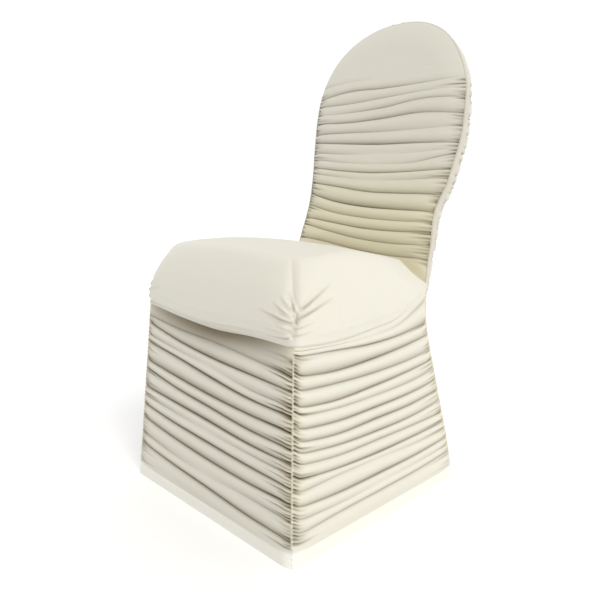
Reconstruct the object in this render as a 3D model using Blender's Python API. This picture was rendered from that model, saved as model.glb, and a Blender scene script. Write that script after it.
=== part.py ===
"""Ruched stretch cover for a banquet chair, modelled as thin sheets of cloth.

Metres, +Z up. X is the width, the front of the seat faces -Y, the floor is z = 0.
The cloth hangs in the shape that it takes over a padded seat and a leaning backrest.
"""
import math

import bmesh
import bpy
import numpy as np

# Sizes of the covered form
CLOTH = 0.0022            # cloth with its stretch lining of gathers, as one sheet
SEAM_GAP = 0.0004         # space between two pieces along a seam
DEPTH_CENTRE = 0.0522     # shifts the form so that its depth is centred on y = 0

FLOOR_FRONT = (0.2400, -0.2280)    # half width and y of the front corners at the floor
SEAT_FRONT = (0.2130, -0.1970)     # the same at the top of the front corner seams
FRONT_SEAM_TOP = 0.403
REAR_SEAM_TOP = 0.412

# Rear corner seams against height: half width, y, and how far the direction that both
# pieces share there turns to the back
REAR_HEIGHTS = (0.0, 0.042, 0.102, 0.162, 0.222, 0.282, 0.342, 0.377, 0.412)
REAR_WIDTHS = (0.2235, 0.2245, 0.2190, 0.2105, 0.2025, 0.1940, 0.1885, 0.1890, 0.1960)
REAR_DEPTHS = (0.2430, 0.2345, 0.2240, 0.2135, 0.2030, 0.1925, 0.1820, 0.1760, 0.1700)
REAR_TURNS = (1.0, 0.85, 0.65, 0.45, 0.30, 0.10, -0.15, -0.35, -0.60)

# Front of the backrest against height: y, then half width below the shoulder
BACK_HEIGHTS = (0.412, 0.512, 0.612, 0.712, 0.812, 0.892, 0.944)
BACK_DEPTHS = (0.1700, 0.1998, 0.2296, 0.2574, 0.2802, 0.2964, 0.3073)
WAIST_HEIGHTS = (0.412, 0.442, 0.492, 0.552, 0.612, 0.692, 0.772)
WAIST_WIDTHS = (0.196, 0.190, 0.185, 0.180, 0.188, 0.202, 0.203)
SHOULDER = (0.203, 0.772)          # half width and height where the crown starts
CROWN_TOP = 0.944
CROWN_POWER = 2.15
SEAM_REACH = 0.004                 # cloth this close to the backrest's seam leans to it
RIM_WIDTH = 0.014                  # how far in the edge of the backrest is rounded

# The cloth pulls each side of the backrest a little out of true
UNEVEN_HEIGHTS = (0.412, 0.492, 0.552, 0.612, 0.652, 0.692, 0.752, 0.792, 0.856, 0.892, 0.944)
UNEVEN_LEFT = (0.0, 0.0, 0.0, -0.002, -0.002, -0.001, 0.005, 0.005, 0.003, 0.003, 0.0)
UNEVEN_RIGHT = (0.0, 0.002, 0.001, 0.009, 0.006, 0.004, 0.0, -0.004, -0.010, -0.008, 0.0)

# How far the rear cloth stands behind its seams, against height
STAND_HEIGHTS = (0.0, 0.092, 0.192, 0.312, 0.372, 0.412, 0.472, 0.944)
STANDS = (0.007, 0.008, 0.009, 0.012, 0.018, 0.026, 0.034, 0.036)

# Columns of every skirt panel from seam to seam, close together at the rounded corners
SKIRT_COLUMNS = (0.0, 0.018, 0.045, 0.12, 0.28, 0.50, 0.72, 0.88, 0.955, 0.982, 1.0)
BACK_COLUMNS = (0.0, 0.03, 0.09, 0.20, 0.35, 0.50, 0.65, 0.80, 0.91, 0.97, 1.0)
CORNER_BULGE = 0.0055
CORNER_SHARE = 0.034

# Stations of a fold's height along the panel, and where its depth is given
HEIGHT_AT = (0.0, 0.25, 0.5, 0.75, 1.0)
DEPTH_AT = (0.0, 0.5, 1.0)

# Rows of a fold: its valley, the flank below, the crest and the flank above
FINE_ROWS = (0.0, 0.2, 0.5, 0.8)
PLAIN_ROWS = (0.0, 0.3, 0.7)

# Valleys of the folds in millimetres, top to bottom. Height at the left seam, at each
# quarter and at the right seam; then depth at the left seam, the middle, the right seam
FRONT_FOLDS = (
    # left quarter middle three_quarter right | deep_left deep_middle deep_right
    (367, 353, 347, 353, 356, 0.0, 0.0, 0.0),
    (342, 330, 325, 318, 308, 2.5, 2.0, 2.5),
    (327, 307, 295, 290, 286, 4.0, 5.0, 4.0),
    (303, 290, 280, 266, 262, 2.5, 0.5, 3.0),
    (288, 275, 260, 249, 246, 4.5, 6.0, 4.5),
    (249, 237, 227, 222, 221, 4.0, 5.0, 4.0),
    (232, 215, 205, 196, 194, 4.0, 5.0, 4.0),
    (192, 185, 178, 171, 170, 4.0, 5.5, 4.0),
    (174, 167, 160, 156, 153, 3.0, 0.5, 3.0),
    (155, 144, 138, 133, 131, 4.0, 5.5, 4.0),
    (126, 114, 106, 103, 105, 4.0, 4.5, 4.0),
    (94, 82, 78, 80, 78, 3.0, 0.5, 3.0),
    (70, 60, 53, 46, 45, 3.5, 5.0, 3.5),
    (24, 23, 20, 17, 12, 0.0, 0.8, 0.0),
    (0, 0, 0, 0, 0, 0.0, 0.0, 0.0),
)
RIGHT_FOLDS = (
    # front quarter middle three_quarter rear | deep_front deep_middle deep_rear
    (356, 348, 351, 362, 412, 0.0, 0.0, 0.0),
    (349, 342, 340, 347, 380, 2.0, 0.5, 3.0),
    (341, 333, 325, 325, 334, 3.0, 5.0, 3.5),
    (309, 298, 297, 301, 309, 4.0, 5.5, 3.5),
    (285, 277, 272, 272, 278, 4.0, 4.0, 3.0),
    (259, 248, 248, 251, 257, 4.0, 5.0, 3.5),
    (246, 235, 231, 231, 238, 3.0, 2.5, 3.0),
    (224, 212, 209, 209, 215, 4.0, 5.0, 3.5),
    (204, 190, 188, 187, 194, 3.5, 5.0, 3.5),
    (185, 171, 165, 164, 171, 3.5, 4.5, 3.0),
    (167, 153, 149, 146, 145, 3.0, 3.5, 3.0),
    (143, 131, 125, 124, 125, 3.5, 5.0, 3.5),
    (120, 120, 116, 110, 109, 3.0, 1.0, 2.5),
    (97, 88, 86, 86, 91, 3.5, 5.0, 3.5),
    (75, 70, 70, 71, 75, 3.0, 0.5, 2.0),
    (51, 54, 54, 55, 61, 2.5, 3.5, 3.0),
    (20, 23, 24, 21, 17, 0.0, 0.8, 0.0),
    (0, 0, 0, 0, 0, 0.0, 0.0, 0.0),
)
LEFT_FOLDS = (
    # rear quarter middle three_quarter front | deep_rear deep_middle deep_front
    (412, 366, 353, 358, 367, 0.0, 0.0, 0.0),
    (378, 350, 342, 346, 356, 3.0, 0.5, 2.0),
    (344, 333, 329, 334, 344, 3.5, 5.0, 3.0),
    (315, 305, 298, 301, 310, 3.5, 5.5, 4.0),
    (284, 278, 275, 277, 283, 3.0, 4.0, 4.0),
    (261, 254, 249, 250, 258, 3.5, 5.0, 4.0),
    (235, 228, 225, 228, 235, 3.0, 4.5, 3.5),
    (209, 203, 199, 202, 211, 3.5, 5.0, 4.0),
    (186, 179, 174, 176, 186, 3.0, 4.5, 3.5),
    (162, 155, 152, 156, 164, 3.5, 3.5, 3.5),
    (139, 133, 128, 131, 138, 3.0, 5.0, 3.5),
    (114, 108, 104, 106, 113, 3.5, 3.5, 3.5),
    (89, 84, 80, 83, 91, 3.0, 5.0, 3.0),
    (56, 52, 49, 50, 54, 3.0, 4.0, 3.0),
    (14, 16, 16, 18, 22, 0.0, 0.8, 0.0),
    (0, 0, 0, 0, 0, 0.0, 0.0, 0.0),
)
BACK_FRONT_FOLDS = (
    # left quarter middle three_quarter right | deep_left deep_middle deep_right
    (850, 850, 850, 850, 850, 0.0, 0.0, 0.0),
    (825, 830, 830, 832, 832, 1.5, 0.0, 0.0),
    (796, 808, 806, 807, 810, 3.5, 3.5, 0.5),
    (780, 780, 785, 790, 792, 3.0, 2.5, 0.5),
    (760, 760, 764, 775, 772, 1.0, 3.5, 2.0),
    (742, 738, 741, 747, 739, 3.5, 4.5, 2.5),
    (716, 715, 713, 713, 715, 4.0, 2.5, 0.8),
    (697, 691, 686, 685, 683, 4.0, 5.5, 3.0),
    (674, 667, 664, 665, 673, 3.5, 0.3, 1.5),
    (659, 649, 644, 645, 663, 2.5, 0.8, 3.0),
    (639, 630, 625, 627, 632, 3.5, 4.5, 3.0),
    (626, 616, 609, 611, 616, 2.5, 0.5, 3.0),
    (605, 595, 585, 583, 583, 4.0, 4.5, 4.0),
    (580, 562, 553, 550, 549, 4.5, 6.0, 4.0),
    (555, 538, 530, 527, 528, 3.5, 3.5, 2.5),
    (525, 516, 508, 506, 509, 4.0, 4.5, 3.5),
    (511, 496, 485, 481, 484, 3.5, 3.5, 3.0),
    (481, 472, 462, 457, 458, 3.5, 4.0, 3.0),
    (412, 452, 445, 444, 412, 0.0, 0.0, 0.0),
)
BACK_REAR_FOLDS = (
    # left quarter middle three_quarter right | deep_left deep_middle deep_right
    (808, 814, 817, 814, 810, 1.0, 0.5, 1.5),
    (770, 779, 781, 776, 772, 1.5, 3.0, 2.0),
    (736, 742, 748, 744, 734, 2.0, 4.0, 2.0),
    (700, 708, 710, 703, 700, 2.0, 3.5, 2.0),
    (664, 668, 675, 672, 667, 2.0, 4.5, 2.0),
    (629, 635, 637, 632, 626, 2.0, 4.0, 2.0),
    (596, 600, 606, 603, 598, 2.0, 4.5, 2.0),
    (562, 569, 569, 564, 563, 2.0, 4.0, 2.0),
    (528, 532, 538, 535, 527, 2.0, 4.5, 2.0),
    (495, 501, 502, 497, 493, 2.0, 4.0, 2.0),
    (460, 465, 470, 467, 462, 2.0, 4.5, 2.0),
    (412, 429, 434, 428, 412, 1.5, 4.0, 1.5),
    (380, 390, 397, 394, 384, 2.0, 4.5, 2.0),
    (346, 355, 356, 350, 344, 2.0, 4.0, 2.0),
    (310, 315, 322, 320, 314, 2.5, 5.0, 2.5),
    (276, 282, 283, 278, 273, 2.5, 4.0, 2.5),
    (242, 244, 251, 250, 244, 2.5, 5.0, 2.5),
    (206, 214, 214, 208, 204, 2.5, 4.5, 2.5),
    (173, 176, 182, 182, 175, 2.5, 5.0, 2.5),
    (139, 145, 145, 140, 137, 2.5, 4.0, 2.5),
    (104, 106, 113, 112, 106, 2.5, 5.0, 2.5),
    (72, 77, 76, 71, 68, 2.5, 4.0, 2.5),
    (44, 45, 47, 46, 44, 1.5, 3.0, 1.5),
    (16, 17, 18, 18, 16, 0.0, 0.8, 0.0),
    (0, 0, 0, 0, 0, 0.0, 0.0, 0.0),
)

# Rows of the smooth crown, above the folds
CROWN_ROWS = (0.9436, 0.9425, 0.9400, 0.9345, 0.9250, 0.9110, 0.8930, 0.8720)
LOWER_CROWN_ROWS = (0.8520, 0.8320)

# Rings of the seat panel from its lower edge over the cushion's rounded side
SEAT_RINGS = (
    # inset, share of the pad's swelling, squareness of the ring
    (0.0004, 0.80, 60),
    (0.0015, 1.00, 36),
    (0.0045, 1.00, 20),
    (0.0100, 0.85, 13),
    (0.0180, 0.55, 9.5),
    (0.0300, 0.25, 7.5),
    (0.0600, 0.00, 5.5),
    (0.1100, 0.00, 4.5),
)
SEAT_ROUND = 0.036                 # width of the cushion's rounded edge, seen from above
REAR_SQUARENESS = 1.3              # how much squarer the cushion's rear corners are
REAR_HALF = 0.10                   # they square up over this way behind the middle
STEEP_SHARE = 0.28                 # share of a side over which the panel gets steep
SEAT_EDGE_REACH = 0.006            # cloth this close to the lower edge leans as the edge does
SEAT_MIDDLE = -0.0135              # y of the middle of the seat
SEAT_HALF_DEPTH = 0.1835
SEAT_CROWN = 0.499
DOME_MIDDLE = -0.045                 # y of the highest part of the top
DOME_FRONT = 0.152
DOME_FRONT_POWER = 3
DOME_REAR = 0.220
DOME_REAR_POWER = 1.3
FALL_SIDE = 0.012                  # how much lower the top is towards the sides
FALL_FRONT = 0.012
FALL_REAR = 0.045
FRONT_PAD = 0.016                  # how far the cushion's front swells past the corner line
SIDE_PAD = 0.006
LIP_RECESS = 0.015                 # the front skirt starts this far in, under the cushion's lip
LIP_FADE = 0.040
PUCKER = 0.0016                    # creases of the seat that run into the front corner seams
PUCKERED_SHARES = (0.018, 0.12, 0.88, 0.982)

POCKET_HEIGHT = 0.026
POCKET_SHARES = (0.045, 0.018)     # stations of a pocket beside its corner
POCKET_CLEARANCE = 0.0012
POCKET_SKIN = 0.0018

IVORY = (0.80, 0.77, 0.68)
PALE_IVORY = (0.84, 0.82, 0.75)


def smooth_table(value, places, heights):
    """Curve through a short table, with an even slope at each entry."""
    places = np.asarray(places, dtype=float)
    heights = np.asarray(heights, dtype=float)
    slopes = np.gradient(heights, places)
    value = np.clip(np.asarray(value, dtype=float), places[0], places[-1])
    index = np.clip(np.searchsorted(places, value, side="right") - 1, 0, len(places) - 2)
    step = places[index + 1] - places[index]
    part = (value - places[index]) / step
    first = (2 * part ** 3 - 3 * part ** 2 + 1) * heights[index]
    first_slope = (part ** 3 - 2 * part ** 2 + part) * step * slopes[index]
    second = (3 * part ** 2 - 2 * part ** 3) * heights[index + 1]
    second_slope = (part ** 3 - part ** 2) * step * slopes[index + 1]
    return first + first_slope + second + second_slope


def ease(value):
    """Soft step from 0 to 1."""
    value = min(max(value, 0.0), 1.0)
    return value * value * (3 - 2 * value)


def unit(vector):
    vector = np.asarray(vector, dtype=float)
    return vector / np.linalg.norm(vector)


def level(vectors):
    """Unit vectors without their upward part."""
    flat = vectors * np.array([1.0, 1.0, 0.0])
    return flat / np.linalg.norm(flat, axis=-1, keepdims=True)


def back_half_width(height, side):
    """Half width of the backrest along its left (-1) or right (1) seam."""
    half, shoulder = SHOULDER
    if height <= shoulder:
        width = float(smooth_table(height, WAIST_HEIGHTS, WAIST_WIDTHS))
    else:
        share = min((height - shoulder) / (CROWN_TOP - shoulder), 1.0)
        width = half * (1 - share ** CROWN_POWER) ** (1 / CROWN_POWER)
    uneven = UNEVEN_LEFT if side < 0 else UNEVEN_RIGHT
    return width + float(smooth_table(height, UNEVEN_HEIGHTS, uneven)) * min(width / 0.1, 1.0)


def back_plane(x, height):
    """Point on the leaning surface that holds the backrest's seams."""
    return np.array([x, float(smooth_table(height, BACK_HEIGHTS, BACK_DEPTHS)), height])


def forward_at(height):
    """Direction out of the leaning surface, to the front."""
    reach = 0.002
    below = back_plane(0.0, height - reach)[1]
    above = back_plane(0.0, height + reach)[1]
    low = max(height - reach, BACK_HEIGHTS[0])
    high = min(height + reach, BACK_HEIGHTS[-1])
    return unit((0.0, -1.0, (above - below) / (high - low)))


def up_at(height):
    """Direction up the leaning surface."""
    forward = forward_at(height)
    return np.array([0.0, forward[2], -forward[1]])


def corner(side, end, height):
    """Point on a corner seam. side is -1 left or 1 right, end is 'front' or 'rear'."""
    if end == "front":
        share = height / FRONT_SEAM_TOP
        half = FLOOR_FRONT[0] + (SEAT_FRONT[0] - FLOOR_FRONT[0]) * share
        y = FLOOR_FRONT[1] + (SEAT_FRONT[1] - FLOOR_FRONT[1]) * share
    else:
        half = float(smooth_table(height, REAR_HEIGHTS, REAR_WIDTHS))
        y = float(smooth_table(height, REAR_HEIGHTS, REAR_DEPTHS))
    return np.array([side * half, y, height])


def corner_normal(side, end, height):
    """Direction that both pieces share at a corner seam, pointing out."""
    if end == "front":
        return unit((side, -1.0, 0.0))
    back = float(smooth_table(height, REAR_HEIGHTS, REAR_TURNS))
    return unit((side, back, 0.0))


def outline_normal(side, height):
    """Direction out of the backrest's outline, in its leaning plane."""
    if height >= CROWN_TOP - 1e-6:
        flat = np.array([0.0, 1.0])
    else:
        reach = 0.0005
        low = back_half_width(max(height - reach, REAR_SEAM_TOP), side)
        high = back_half_width(min(height + reach, CROWN_TOP), side)
        flat = unit((2 * reach, low - high))
    return flat[0] * np.array([side, 0.0, 0.0]) + flat[1] * up_at(height)


def back_seam_normal(side, height):
    """Direction that the front and rear pieces share at the backrest's seam."""
    above = unit(0.75 * outline_normal(side, height) + 0.66 * forward_at(height))
    below = corner_normal(side, "rear", REAR_SEAM_TOP)
    share = ease((height - REAR_SEAM_TOP) / 0.030)
    return unit((1 - share) * below + share * above)


def crown_normal():
    """The same direction at the very top of the crown."""
    return unit(0.75 * up_at(CROWN_TOP) + 0.66 * forward_at(CROWN_TOP))


def rear_edge(side, height):
    """Seam of the rear piece: the corner seam, then the backrest's side seam."""
    if height <= REAR_SEAM_TOP:
        return corner(side, "rear", height)
    return back_plane(side * back_half_width(height, side), height)


def rear_edge_normal(side, height):
    if height <= REAR_SEAM_TOP:
        return corner_normal(side, "rear", height)
    return back_seam_normal(side, height)


def corner_round(share):
    """How far a skirt panel swells past the straight line between its two seams."""
    near = min(share, 1 - share) / CORNER_SHARE
    if near >= 1:
        return CORNER_BULGE
    return CORNER_BULGE * (1 - (1 - near) ** 2)


def skirt_ends(panel, height):
    """The two seam points of a skirt panel, in the direction that its columns run."""
    if panel == "front":
        return corner(-1, "front", height), corner(1, "front", height)
    if panel == "right":
        return corner(1, "front", height), corner(1, "rear", height)
    return corner(-1, "rear", height), corner(-1, "front", height)


def skirt_end_normals(panel, height):
    if panel == "front":
        return corner_normal(-1, "front", height), corner_normal(1, "front", height)
    if panel == "right":
        return corner_normal(1, "front", height), corner_normal(1, "rear", height)
    return corner_normal(-1, "rear", height), corner_normal(-1, "front", height)


def skirt_outward(panel, height):
    """Level direction out of a skirt panel."""
    start, end = skirt_ends(panel, height)
    along = unit((end - start) * np.array([1.0, 1.0, 0.0]))
    return np.array([along[1], -along[0], 0.0])


def skirt_base(panel, share, height, lip_height):
    """Point of the unfolded skirt surface. The front one draws in under the lip."""
    start, end = skirt_ends(panel, height)
    reach = corner_round(share)
    if panel == "front":
        middle = math.sin(math.pi * share) ** 0.6 if 0 < share < 1 else 0.0
        reach -= LIP_RECESS * middle * math.exp(-(lip_height - height) / LIP_FADE)
    return start + (end - start) * share + skirt_outward(panel, height) * reach


def level_normal(panel, share, height):
    """Level direction out at a skirt's upper edge, turning to the seam's at both ends."""
    out = skirt_outward(panel, height)
    ends = skirt_end_normals(panel, height)
    near = min(share, 1 - share) / CORNER_SHARE
    if near >= 1:
        return out
    seam = ends[0] if share < 0.5 else ends[1]
    return unit(seam * (1 - near) + out * near)


def fold_rows(folds, columns, rows_in_fold):
    """Heights, depths and phase of every row of folds, top to bottom."""
    shares = np.asarray(columns)
    valley_heights = []
    valley_depths = []
    for fold in folds:
        valley_heights.append(smooth_table(shares, HEIGHT_AT, fold[:5]) / 1000)
        valley_depths.append(np.interp(shares, DEPTH_AT, fold[5:]) / 1000)
    near_seam = np.clip(1 - np.minimum(shares, 1 - shares) / 0.13, 0, 1)
    heights = []
    moves = []
    for index in range(len(folds) - 1):
        for phase in rows_in_fold:
            height = valley_heights[index] * (1 - phase) + valley_heights[index + 1] * phase
            depth = valley_depths[index] * (1 - phase) + valley_depths[index + 1] * phase
            swell = math.sin(math.pi * phase) ** 0.8 if phase else 0.0
            move = -depth * (1 - swell)
            if phase == 0.5:
                move = move - 0.55 * depth * near_seam
            heights.append(height)
            moves.append(move)
    heights.append(valley_heights[-1])
    moves.append(-valley_depths[-1])
    return np.array(heights), np.array(moves)


def grid_normals(points, closed):
    """Unit normal at each point of a grid, from its neighbours."""
    down = np.zeros_like(points)
    down[1:-1] = points[2:] - points[:-2]
    down[0] = points[1] - points[0]
    down[-1] = points[-1] - points[-2]
    if closed:
        along = np.roll(points, -1, axis=1) - np.roll(points, 1, axis=1)
    else:
        along = np.zeros_like(points)
        along[:, 1:-1] = points[:, 2:] - points[:, :-2]
        along[:, 0] = points[:, 1] - points[:, 0]
        along[:, -1] = points[:, -1] - points[:, -2]
    cross = np.cross(down, along)
    length = np.linalg.norm(cross, axis=2, keepdims=True)
    return cross / np.maximum(length, 1e-12)


def cut_back(edge, normals, inner, distance):
    """Moves an edge off its seam, square to the seam and to the shared direction."""
    along = np.zeros_like(edge)
    along[1:-1] = edge[2:] - edge[:-2]
    along[0] = edge[1] - edge[0]
    along[-1] = edge[-1] - edge[-2]
    side = np.cross(along, normals)
    side /= np.maximum(np.linalg.norm(side, axis=1, keepdims=True), 1e-12)
    inward = np.sum((inner - edge) * side, axis=1, keepdims=True)
    return side * np.where(inward < 0, -1.0, 1.0) * distance


def make_object(name, bm, material):
    """Turns a mesh into a named, closed, outward-facing object."""
    bmesh.ops.recalc_face_normals(bm, faces=bm.faces)
    if bm.calc_volume(signed=True) < 0:
        bmesh.ops.reverse_faces(bm, faces=bm.faces)
    mesh = bpy.data.meshes.new(name)
    bm.to_mesh(mesh)
    bm.free()
    mesh.shade_smooth()
    mesh.set_sharp_from_angle(angle=math.radians(50))
    mesh.materials.append(material)
    item = bpy.data.objects.new(name, mesh)
    bpy.context.collection.objects.link(item)
    return item


def sheet_solid(name, outer, inner, material):
    """Closed sheet between two grids with the same rows and columns."""
    rows, columns, _ = outer.shape
    bm = bmesh.new()
    front = [[bm.verts.new(outer[r, c]) for c in range(columns)] for r in range(rows)]
    back = [[bm.verts.new(inner[r, c]) for c in range(columns)] for r in range(rows)]
    for r in range(rows - 1):
        for c in range(columns - 1):
            bm.faces.new((front[r][c], front[r][c + 1], front[r + 1][c + 1], front[r + 1][c]))
            bm.faces.new((back[r][c], back[r + 1][c], back[r + 1][c + 1], back[r][c + 1]))
    for c in range(columns - 1):
        bm.faces.new((front[0][c], back[0][c], back[0][c + 1], front[0][c + 1]))
        bm.faces.new((front[-1][c], front[-1][c + 1], back[-1][c + 1], back[-1][c]))
    for r in range(rows - 1):
        bm.faces.new((front[r][0], front[r + 1][0], back[r + 1][0], back[r][0]))
        bm.faces.new((front[r][-1], back[r][-1], back[r + 1][-1], front[r + 1][-1]))
    return make_object(name, bm, material)


def cloth_sheet(name, base, normals, moves, seams, material):
    """Folds a base grid along its normals, cuts it off its seams and gives it thickness."""
    outer = base + normals * moves[:, :, None]
    shift = np.zeros_like(base)
    half_gap = SEAM_GAP / 2
    if "top" in seams:
        shift[0] += cut_back(base[0], normals[0], base[1], half_gap)
    if "bottom" in seams:
        shift[-1] += cut_back(base[-1], normals[-1], base[-2], half_gap)
    if "sides" in seams:
        shift[:, 0] += cut_back(base[:, 0], normals[:, 0], base[:, 1], half_gap)
        shift[:, -1] += cut_back(base[:, -1], normals[:, -1], base[:, -2], half_gap)
    outer = outer + shift
    inner = outer - normals * CLOTH
    centre = np.array([0.0, DEPTH_CENTRE, 0.0])
    return sheet_solid(name, outer - centre, inner - centre, material)


def skirt_grid(panel, folds, rows_in_fold):
    """Base points, normals and fold moves of one skirt panel."""
    heights, moves = fold_rows(folds, SKIRT_COLUMNS, rows_in_fold)
    base = np.zeros(heights.shape + (3,))
    for r in range(heights.shape[0]):
        for c, share in enumerate(SKIRT_COLUMNS):
            base[r, c] = skirt_base(panel, share, heights[r, c], heights[0, c])
    normals = grid_normals(base, closed=False)
    normals[-1] = level(normals[-1])
    for c, share in enumerate(SKIRT_COLUMNS):
        normals[0, c] = level_normal(panel, share, heights[0, c])
    for r in range(heights.shape[0]):
        for c in (0, -1):
            normals[r, c] = skirt_end_normals(panel, heights[r, c])[c]
    return base, normals, moves


def back_front_grid():
    """Base points, normals and fold moves of the front of the backrest."""
    heights, moves = fold_rows(BACK_FRONT_FOLDS, BACK_COLUMNS, FINE_ROWS)
    crown = np.array([[height] * len(BACK_COLUMNS) for height in CROWN_ROWS])
    heights = np.vstack([crown, heights])
    moves = np.vstack([np.zeros_like(crown), moves])
    base = np.zeros(heights.shape + (3,))
    for r in range(heights.shape[0]):
        left = -back_half_width(heights[r, 0], -1)
        right = back_half_width(heights[r, -1], 1)
        for c, share in enumerate(BACK_COLUMNS):
            x = left + (right - left) * share
            height = heights[r, c]
            edge = min(outline_distance(x, height) / 0.050, 1.0)
            foot = ease((height - heights[-1, c]) / 0.050)
            pad = 0.008 * (1 - (1 - edge) ** 2) * foot
            base[r, c] = back_plane(x, height) + forward_at(height) * pad
    normals = grid_normals(base, closed=False)
    blend_to_seam(normals, base[:, :, 0], heights)
    for r in range(heights.shape[0]):
        normals[r, 0] = back_seam_normal(-1, heights[r, 0])
        normals[r, -1] = back_seam_normal(1, heights[r, -1])
    for c, share in enumerate(BACK_COLUMNS):
        normals[0, c] = crown_normal()
        normals[-1, c] = crease_normal(share)
    return base, normals, moves


def crease_normal(share):
    """Direction that the seat and the backrest share in the crease between them."""
    side = -1 if share < 0.5 else 1
    middle = unit((0.0, -0.75, 0.66))
    near = min(min(share, 1 - share) / 0.15, 1.0)
    return unit((1 - near) * corner_normal(side, "rear", REAR_SEAM_TOP) + near * middle)


def outline_points(side):
    """Dense outline of the rear piece on one side, as x and height."""
    crown = CROWN_TOP - 0.06 * np.linspace(1, 0, 60) ** 2
    heights = np.concatenate([np.linspace(0, crown[0], 181), crown])
    return np.array([[rear_edge(side, height)[0], height] for height in heights])


OUTLINES = {-1: outline_points(-1), 1: outline_points(1)}


def outline_distance(x, height):
    """Shortest way in the leaning plane from a point to the outline."""
    steps = OUTLINES[-1 if x < 0 else 1] - np.array([x, height])
    return float(np.sqrt(np.min(np.sum(steps ** 2, axis=1))))


def blend_to_seam(normals, shares_x, heights):
    """Turns the normals close to the backrest's seam towards the direction shared there."""
    for r in range(normals.shape[0]):
        for c in range(normals.shape[1]):
            x = shares_x[r, c]
            height = heights[r, c]
            if height <= REAR_SEAM_TOP:
                continue
            near = outline_distance(x, height) / SEAM_REACH
            if near >= 1:
                continue
            side = -1 if x < 0 else 1
            steps = OUTLINES[side] - np.array([x, height])
            nearest = OUTLINES[side][int(np.argmin(np.sum(steps ** 2, axis=1)))][1]
            seam = back_seam_normal(side, max(nearest, REAR_SEAM_TOP))
            normals[r, c] = unit(seam * (1 - near) + normals[r, c] * near)


def rear_depth(height):
    """How far the rear cloth stands behind the seams."""
    return float(smooth_table(height, STAND_HEIGHTS, STANDS))


def back_rear_grid():
    """Base points, normals and fold moves of the rear piece."""
    inner_shares = (0.13, 0.37, 0.63, 0.87)
    edge_steps = (0.0, 0.0012, 0.005, RIM_WIDTH)
    shares = [0.0, 0.003, 0.013, 0.036, *inner_shares, 0.964, 0.987, 0.997, 1.0]
    heights, moves = fold_rows(BACK_REAR_FOLDS, shares, PLAIN_ROWS)
    crown = np.array([[height] * len(shares) for height in CROWN_ROWS + LOWER_CROWN_ROWS])
    heights = np.vstack([crown, heights])
    moves = np.vstack([np.zeros_like(crown), moves])
    base = np.zeros(heights.shape + (3,))
    for r in range(heights.shape[0]):
        left = rear_edge(-1, heights[r, 0])[0]
        right = rear_edge(1, heights[r, -1])[0]
        width = right - left
        steps = [min(step, width * (0.01 + 0.03 * k) if k else 0.0) for k, step in enumerate(edge_steps)]
        core = width - 2 * steps[-1]
        places = [left + step for step in steps]
        places += [left + steps[-1] + core * share for share in inner_shares]
        places += [right - step for step in reversed(steps)]
        for c, x in enumerate(places):
            height = heights[r, c]
            near = min(outline_distance(x, height) / RIM_WIDTH, 1.0)
            if c in (0, len(places) - 1):
                near = 0.0
            if r == 0:
                near = 0.0
            turned = ease((height - REAR_SEAM_TOP) / 0.13)
            away = unit((0.0, 1.0, -forward_at(height)[2] * turned))
            if height <= REAR_SEAM_TOP:
                start = np.array([x, corner(1, "rear", height)[1], height])
            else:
                start = back_plane(x, height)
            base[r, c] = start + away * rear_depth(height) * math.sqrt(1 - (1 - near) ** 2)
    normals = grid_normals(base[:, ::-1], closed=False)[:, ::-1]
    blend_to_seam(normals, base[:, :, 0], heights)
    normals[-1] = level(normals[-1])
    for r in range(heights.shape[0]):
        normals[r, 0] = rear_edge_normal(-1, heights[r, 0])
        normals[r, -1] = rear_edge_normal(1, heights[r, -1])
    normals[0, :] = crown_normal()
    return base, normals, moves


def seat_edge():
    """Lower edge of the seat panel all round: points, shared directions, swelling,
    puckers, and how steeply the panel rises from there."""
    points = []
    normals = []
    swells = []
    puckers = []
    steeps = []
    still = np.zeros(3)
    crease = BACK_FRONT_FOLDS[-1]
    for share in BACK_COLUMNS:
        height = float(smooth_table(share, HEIGHT_AT, crease[:5])) / 1000
        half = back_half_width(REAR_SEAM_TOP, 1)
        points.append(back_plane(-half + 2 * half * share, height))
        normals.append(crease_normal(share))
        swells.append(still)
        puckers.append(0.0)
        steeps.append(0.0)
    for panel, folds in (("right", RIGHT_FOLDS), ("front", FRONT_FOLDS), ("left", LEFT_FOLDS)):
        for share in reversed(SKIRT_COLUMNS):
            height = float(smooth_table(share, HEIGHT_AT, folds[0][:5])) / 1000
            at_last = share == 1.0
            at_crease = panel == "left" and share == 0.0
            if at_last or at_crease:
                continue
            points.append(skirt_base(panel, share, height, height))
            normals.append(level_normal(panel, share, height))
            pad = FRONT_PAD + LIP_RECESS if panel == "front" else SIDE_PAD
            middle = math.sin(math.pi * share) ** 0.6 if 0 < share < 1 else 0.0
            swells.append(skirt_outward(panel, height) * pad * middle)
            from_rear = {"right": 1 - share, "left": share}.get(panel, 1.0)
            steeps.append(ease(from_rear / STEEP_SHARE))
            at_front = panel == "front" or (share < 0.5) == (panel == "right")
            puckers.append(-PUCKER if at_front and share in PUCKERED_SHARES else 0.0)
    return [np.array(values) for values in (points, normals, swells, puckers, steeps)]


def seat_top(x, y):
    """Height of the crowned cushion."""
    along = y - DOME_MIDDLE
    front = FALL_FRONT * np.abs(along / DOME_FRONT) ** DOME_FRONT_POWER
    rear = FALL_REAR * np.abs(along / DOME_REAR) ** DOME_REAR_POWER
    fall = np.where(along < 0, front, rear)
    return SEAT_CROWN - FALL_SIDE * (x / SEAT_FRONT[0]) ** 2 - fall


def along_ring(points):
    """Share of the way round a closed ring at each of its points."""
    steps = np.linalg.norm(np.roll(points, -1, axis=0) - points, axis=1)
    return np.concatenate([[0.0], np.cumsum(steps)]) / np.sum(steps)


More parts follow.
